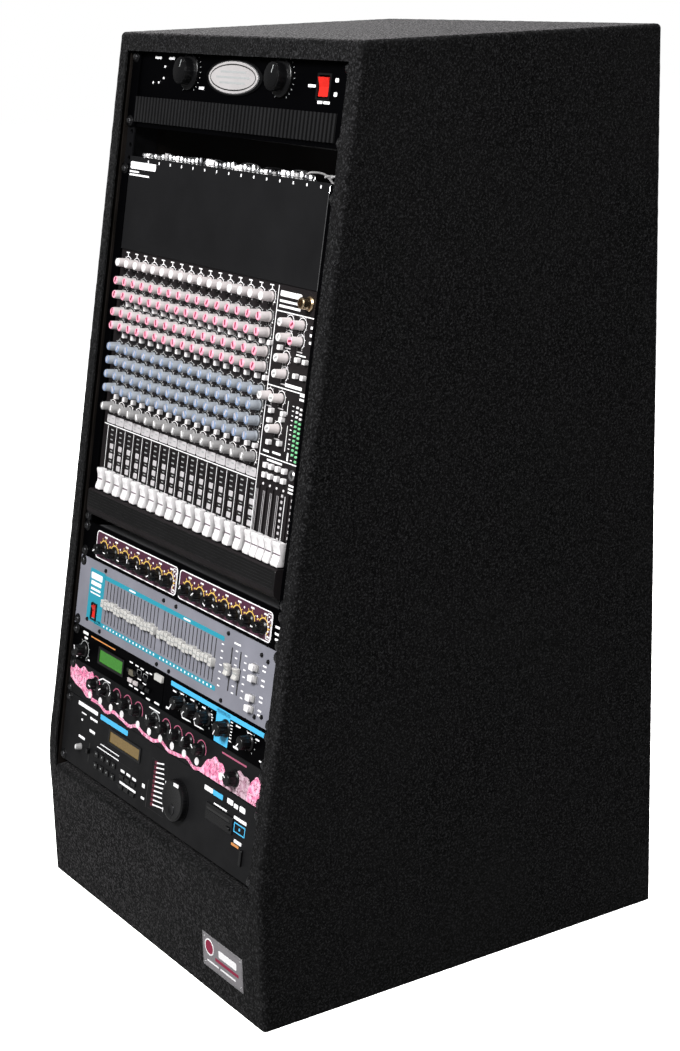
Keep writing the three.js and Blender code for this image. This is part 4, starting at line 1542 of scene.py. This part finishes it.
def make_rear():
    """Connectors, vents and cover screws on the back of each unit."""
    # Each row of fittings: its kind, the x of the first one, how many and how far apart.
    layouts = {
        "amp": [("inlet", 180, 1, 0), ("xlr", 80, 2, 34), ("post", -110, 4, 22), ("vent", 0, 1, 0)],
        "compressor": [("inlet", 190, 1, 0), ("jack", -150, 8, 26)],
        "equalizer": [("inlet", 190, 1, 0), ("xlr", -120, 2, 60), ("jack", 60, 4, 22),
                      ("vent", 0, 1, 0)],
        "preamp": [("inlet", 190, 1, 0), ("jack", -170, 10, 24)],
        "sampler": [("inlet", 190, 1, 0), ("jack", -170, 6, 24), ("vent", 60, 1, 0)],
    }
    for unit, layout in layouts.items():
        panel = Panel(f"{unit}_chassis", rear=True)
        middle = (panel.bottom - panel.top) / 2
        for kind, first, count, pitch in layout:
            if kind == "vent":
                panel.put(louvres(90, min(56, 2 * middle - 14), 7), first, middle)
                continue
            for i in range(count):
                panel.put(socket(kind), first + pitch * i, middle)
        for x in (-208, 208):
            for down in (7, 2 * middle - 7):
                panel.put(screw(3), x, down)
        panel.piece(f"{unit}_rear_fittings", "black_plastic")
    mixer_rear()


def mixer_rear():
    """Pressed ribs, louvres, a mains inlet, a blank plate and cover screws on the mixer's tray."""
    panel = Panel("mixer_chassis", rear=True)
    height = panel.bottom - panel.top
    edge = 8
    rib = slab(round_box(9, height - 190, 4.5), -0.1, 2.4, "chassis_paint", 1.4)
    for x in (-165, -55, 55, 165):
        panel.put(rib, x, height / 2 + 10)
    for x in (-110, 0, 110):
        panel.put(louvres(80, 60, 8), x, 56)
    panel.put(socket("inlet"), 165, height - 46)
    panel.put(slab(round_box(64, 34, 2), -0.1, 0.5, "badge_silver"), -130, height - 46)
    for down in (edge, height / 3, 2 * height / 3, height - edge):
        for x in (panel.left + edge, panel.right - edge):
            panel.put(screw(3), x, down)
    for x in (-110, 0, 110):
        for down in (edge, height - edge):
            panel.put(screw(3), x, down)
    panel.piece("mixer_rear_fittings", "black_plastic")


# ---- floor, light and camera ----

room_fill = 0.14
floor_glow = 0.88
floor_bounce = 0.2


def floor_material():
    """A matt white floor that glows for the camera and sends little light back to the case."""
    g = Graph("floor")
    white = rgb(0.9, 0.9, 0.9)
    seen = g.node("ShaderNodeLightPath").outputs["Is Camera Ray"]
    tone = g.mix(g.spread(g.noise(400), 0, 1), shade(white, 0.99), white)
    g.set(Base_Color=g.mix(seen, shade(white, floor_bounce), tone), Roughness=0.9)
    g.set(Emission_Color=rgb(1, 1, 1), Emission_Strength=g.spread(seen, 0, floor_glow, 0, 1))
    return g.material


def make_stage():
    mesh = bpy.data.meshes.new("floor")
    reach = 12.0
    mesh.from_pydata([(-reach, -reach, 0), (reach, -reach, 0), (reach, reach, 0),
                      (-reach, reach, 0)], [], [(0, 1, 2, 3)])
    mesh.materials.append(floor_material())
    floor = bpy.data.objects.new("floor", mesh)
    bpy.context.scene.collection.objects.link(floor)
    make_room()


def make_room():
    """A plain white room: bright where the camera sees it, dimmer as a source of light."""
    world = bpy.data.worlds.new("room")
    world.use_nodes = True
    nodes, links = world.node_tree.nodes, world.node_tree.links
    seen = nodes["Background"]
    seen.inputs["Color"].default_value = rgb(1, 1, 1)
    seen.inputs["Strength"].default_value = 1.0
    fill = nodes.new("ShaderNodeBackground")
    fill.inputs["Color"].default_value = rgb(1, 1, 1)
    fill.inputs["Strength"].default_value = room_fill
    path = nodes.new("ShaderNodeLightPath")
    mix = nodes.new("ShaderNodeMixShader")
    links.new(path.outputs["Is Camera Ray"], mix.inputs[0])
    links.new(fill.outputs[0], mix.inputs[1])
    links.new(seen.outputs[0], mix.inputs[2])
    links.new(mix.outputs[0], nodes["World Output"].inputs["Surface"])
    bpy.context.scene.world = world


def add_lamp(name, place, target, size, power):
    data = bpy.data.lights.new(name, "AREA")
    data.shape = "RECTANGLE"
    data.size, data.size_y = size
    data.energy = power
    lamp = bpy.data.objects.new(name, data)
    lamp.location = place
    direction = Vector(target) - Vector(place)
    lamp.rotation_euler = direction.to_track_quat("-Z", "Y").to_euler()
    bpy.context.scene.collection.objects.link(lamp)


def make_lights():
    middle = (0, 0, 0.55)
    add_lamp("key", (0.8, -2.3, 2.6), middle, (1.0, 1.0), 180)
    add_lamp("side", (2.8, -1.2, 2.0), (0.2, 0, 0.7), (1.0, 1.0), 23)
    add_lamp("overhead", (-0.2, 0.7, 2.6), (0, 0.2, 1.0), (1.0, 0.8), 20)
    add_lamp("left", (-2.7, 0.9, 1.7), middle, (1.4, 1.4), 80)
    add_lamp("rear", (-0.6, 2.7, 1.2), middle, (1.2, 1.2), 100)
    add_lamp("rear_low", (-0.5, 2.6, 0.7), (0, 0, 0.5), (1.0, 1.0), 50)


camera_place = Vector((2.01216, -1.27936, 1.14232))
camera_yaw, camera_pitch, camera_roll = (math.radians(a) for a in (57.396, 15.68, -1.67))
camera_lens, sensor_width = 69.82, 36


def make_camera():
    data = bpy.data.cameras.new("camera")
    data.lens = camera_lens
    data.sensor_width = sensor_width
    ahead = Vector((-math.sin(camera_yaw) * math.cos(camera_pitch),
                    math.cos(camera_yaw) * math.cos(camera_pitch), -math.sin(camera_pitch)))
    right = Vector((math.cos(camera_yaw), math.sin(camera_yaw), 0))
    up = right.cross(ahead)
    level = Matrix.Rotation(camera_roll, 3, "Z")
    axes = Matrix((right, up, -ahead)).transposed() @ level
    camera = bpy.data.objects.new("camera", data)
    camera.matrix_world = Matrix.Translation(camera_place) @ axes.to_4x4()
    bpy.context.scene.collection.objects.link(camera)
    bpy.context.scene.camera = camera
    bpy.context.scene.view_settings.view_transform = "Standard"


make_carpet()
paint_cad()
make_amplifier()
make_mixer()
make_compressor()
make_equalizer()
make_left_effects()
make_right_effects()
make_preamp()
make_sampler()
make_rack_screws()
make_badge()
make_rear()
make_stage()
make_lights()
make_camera()
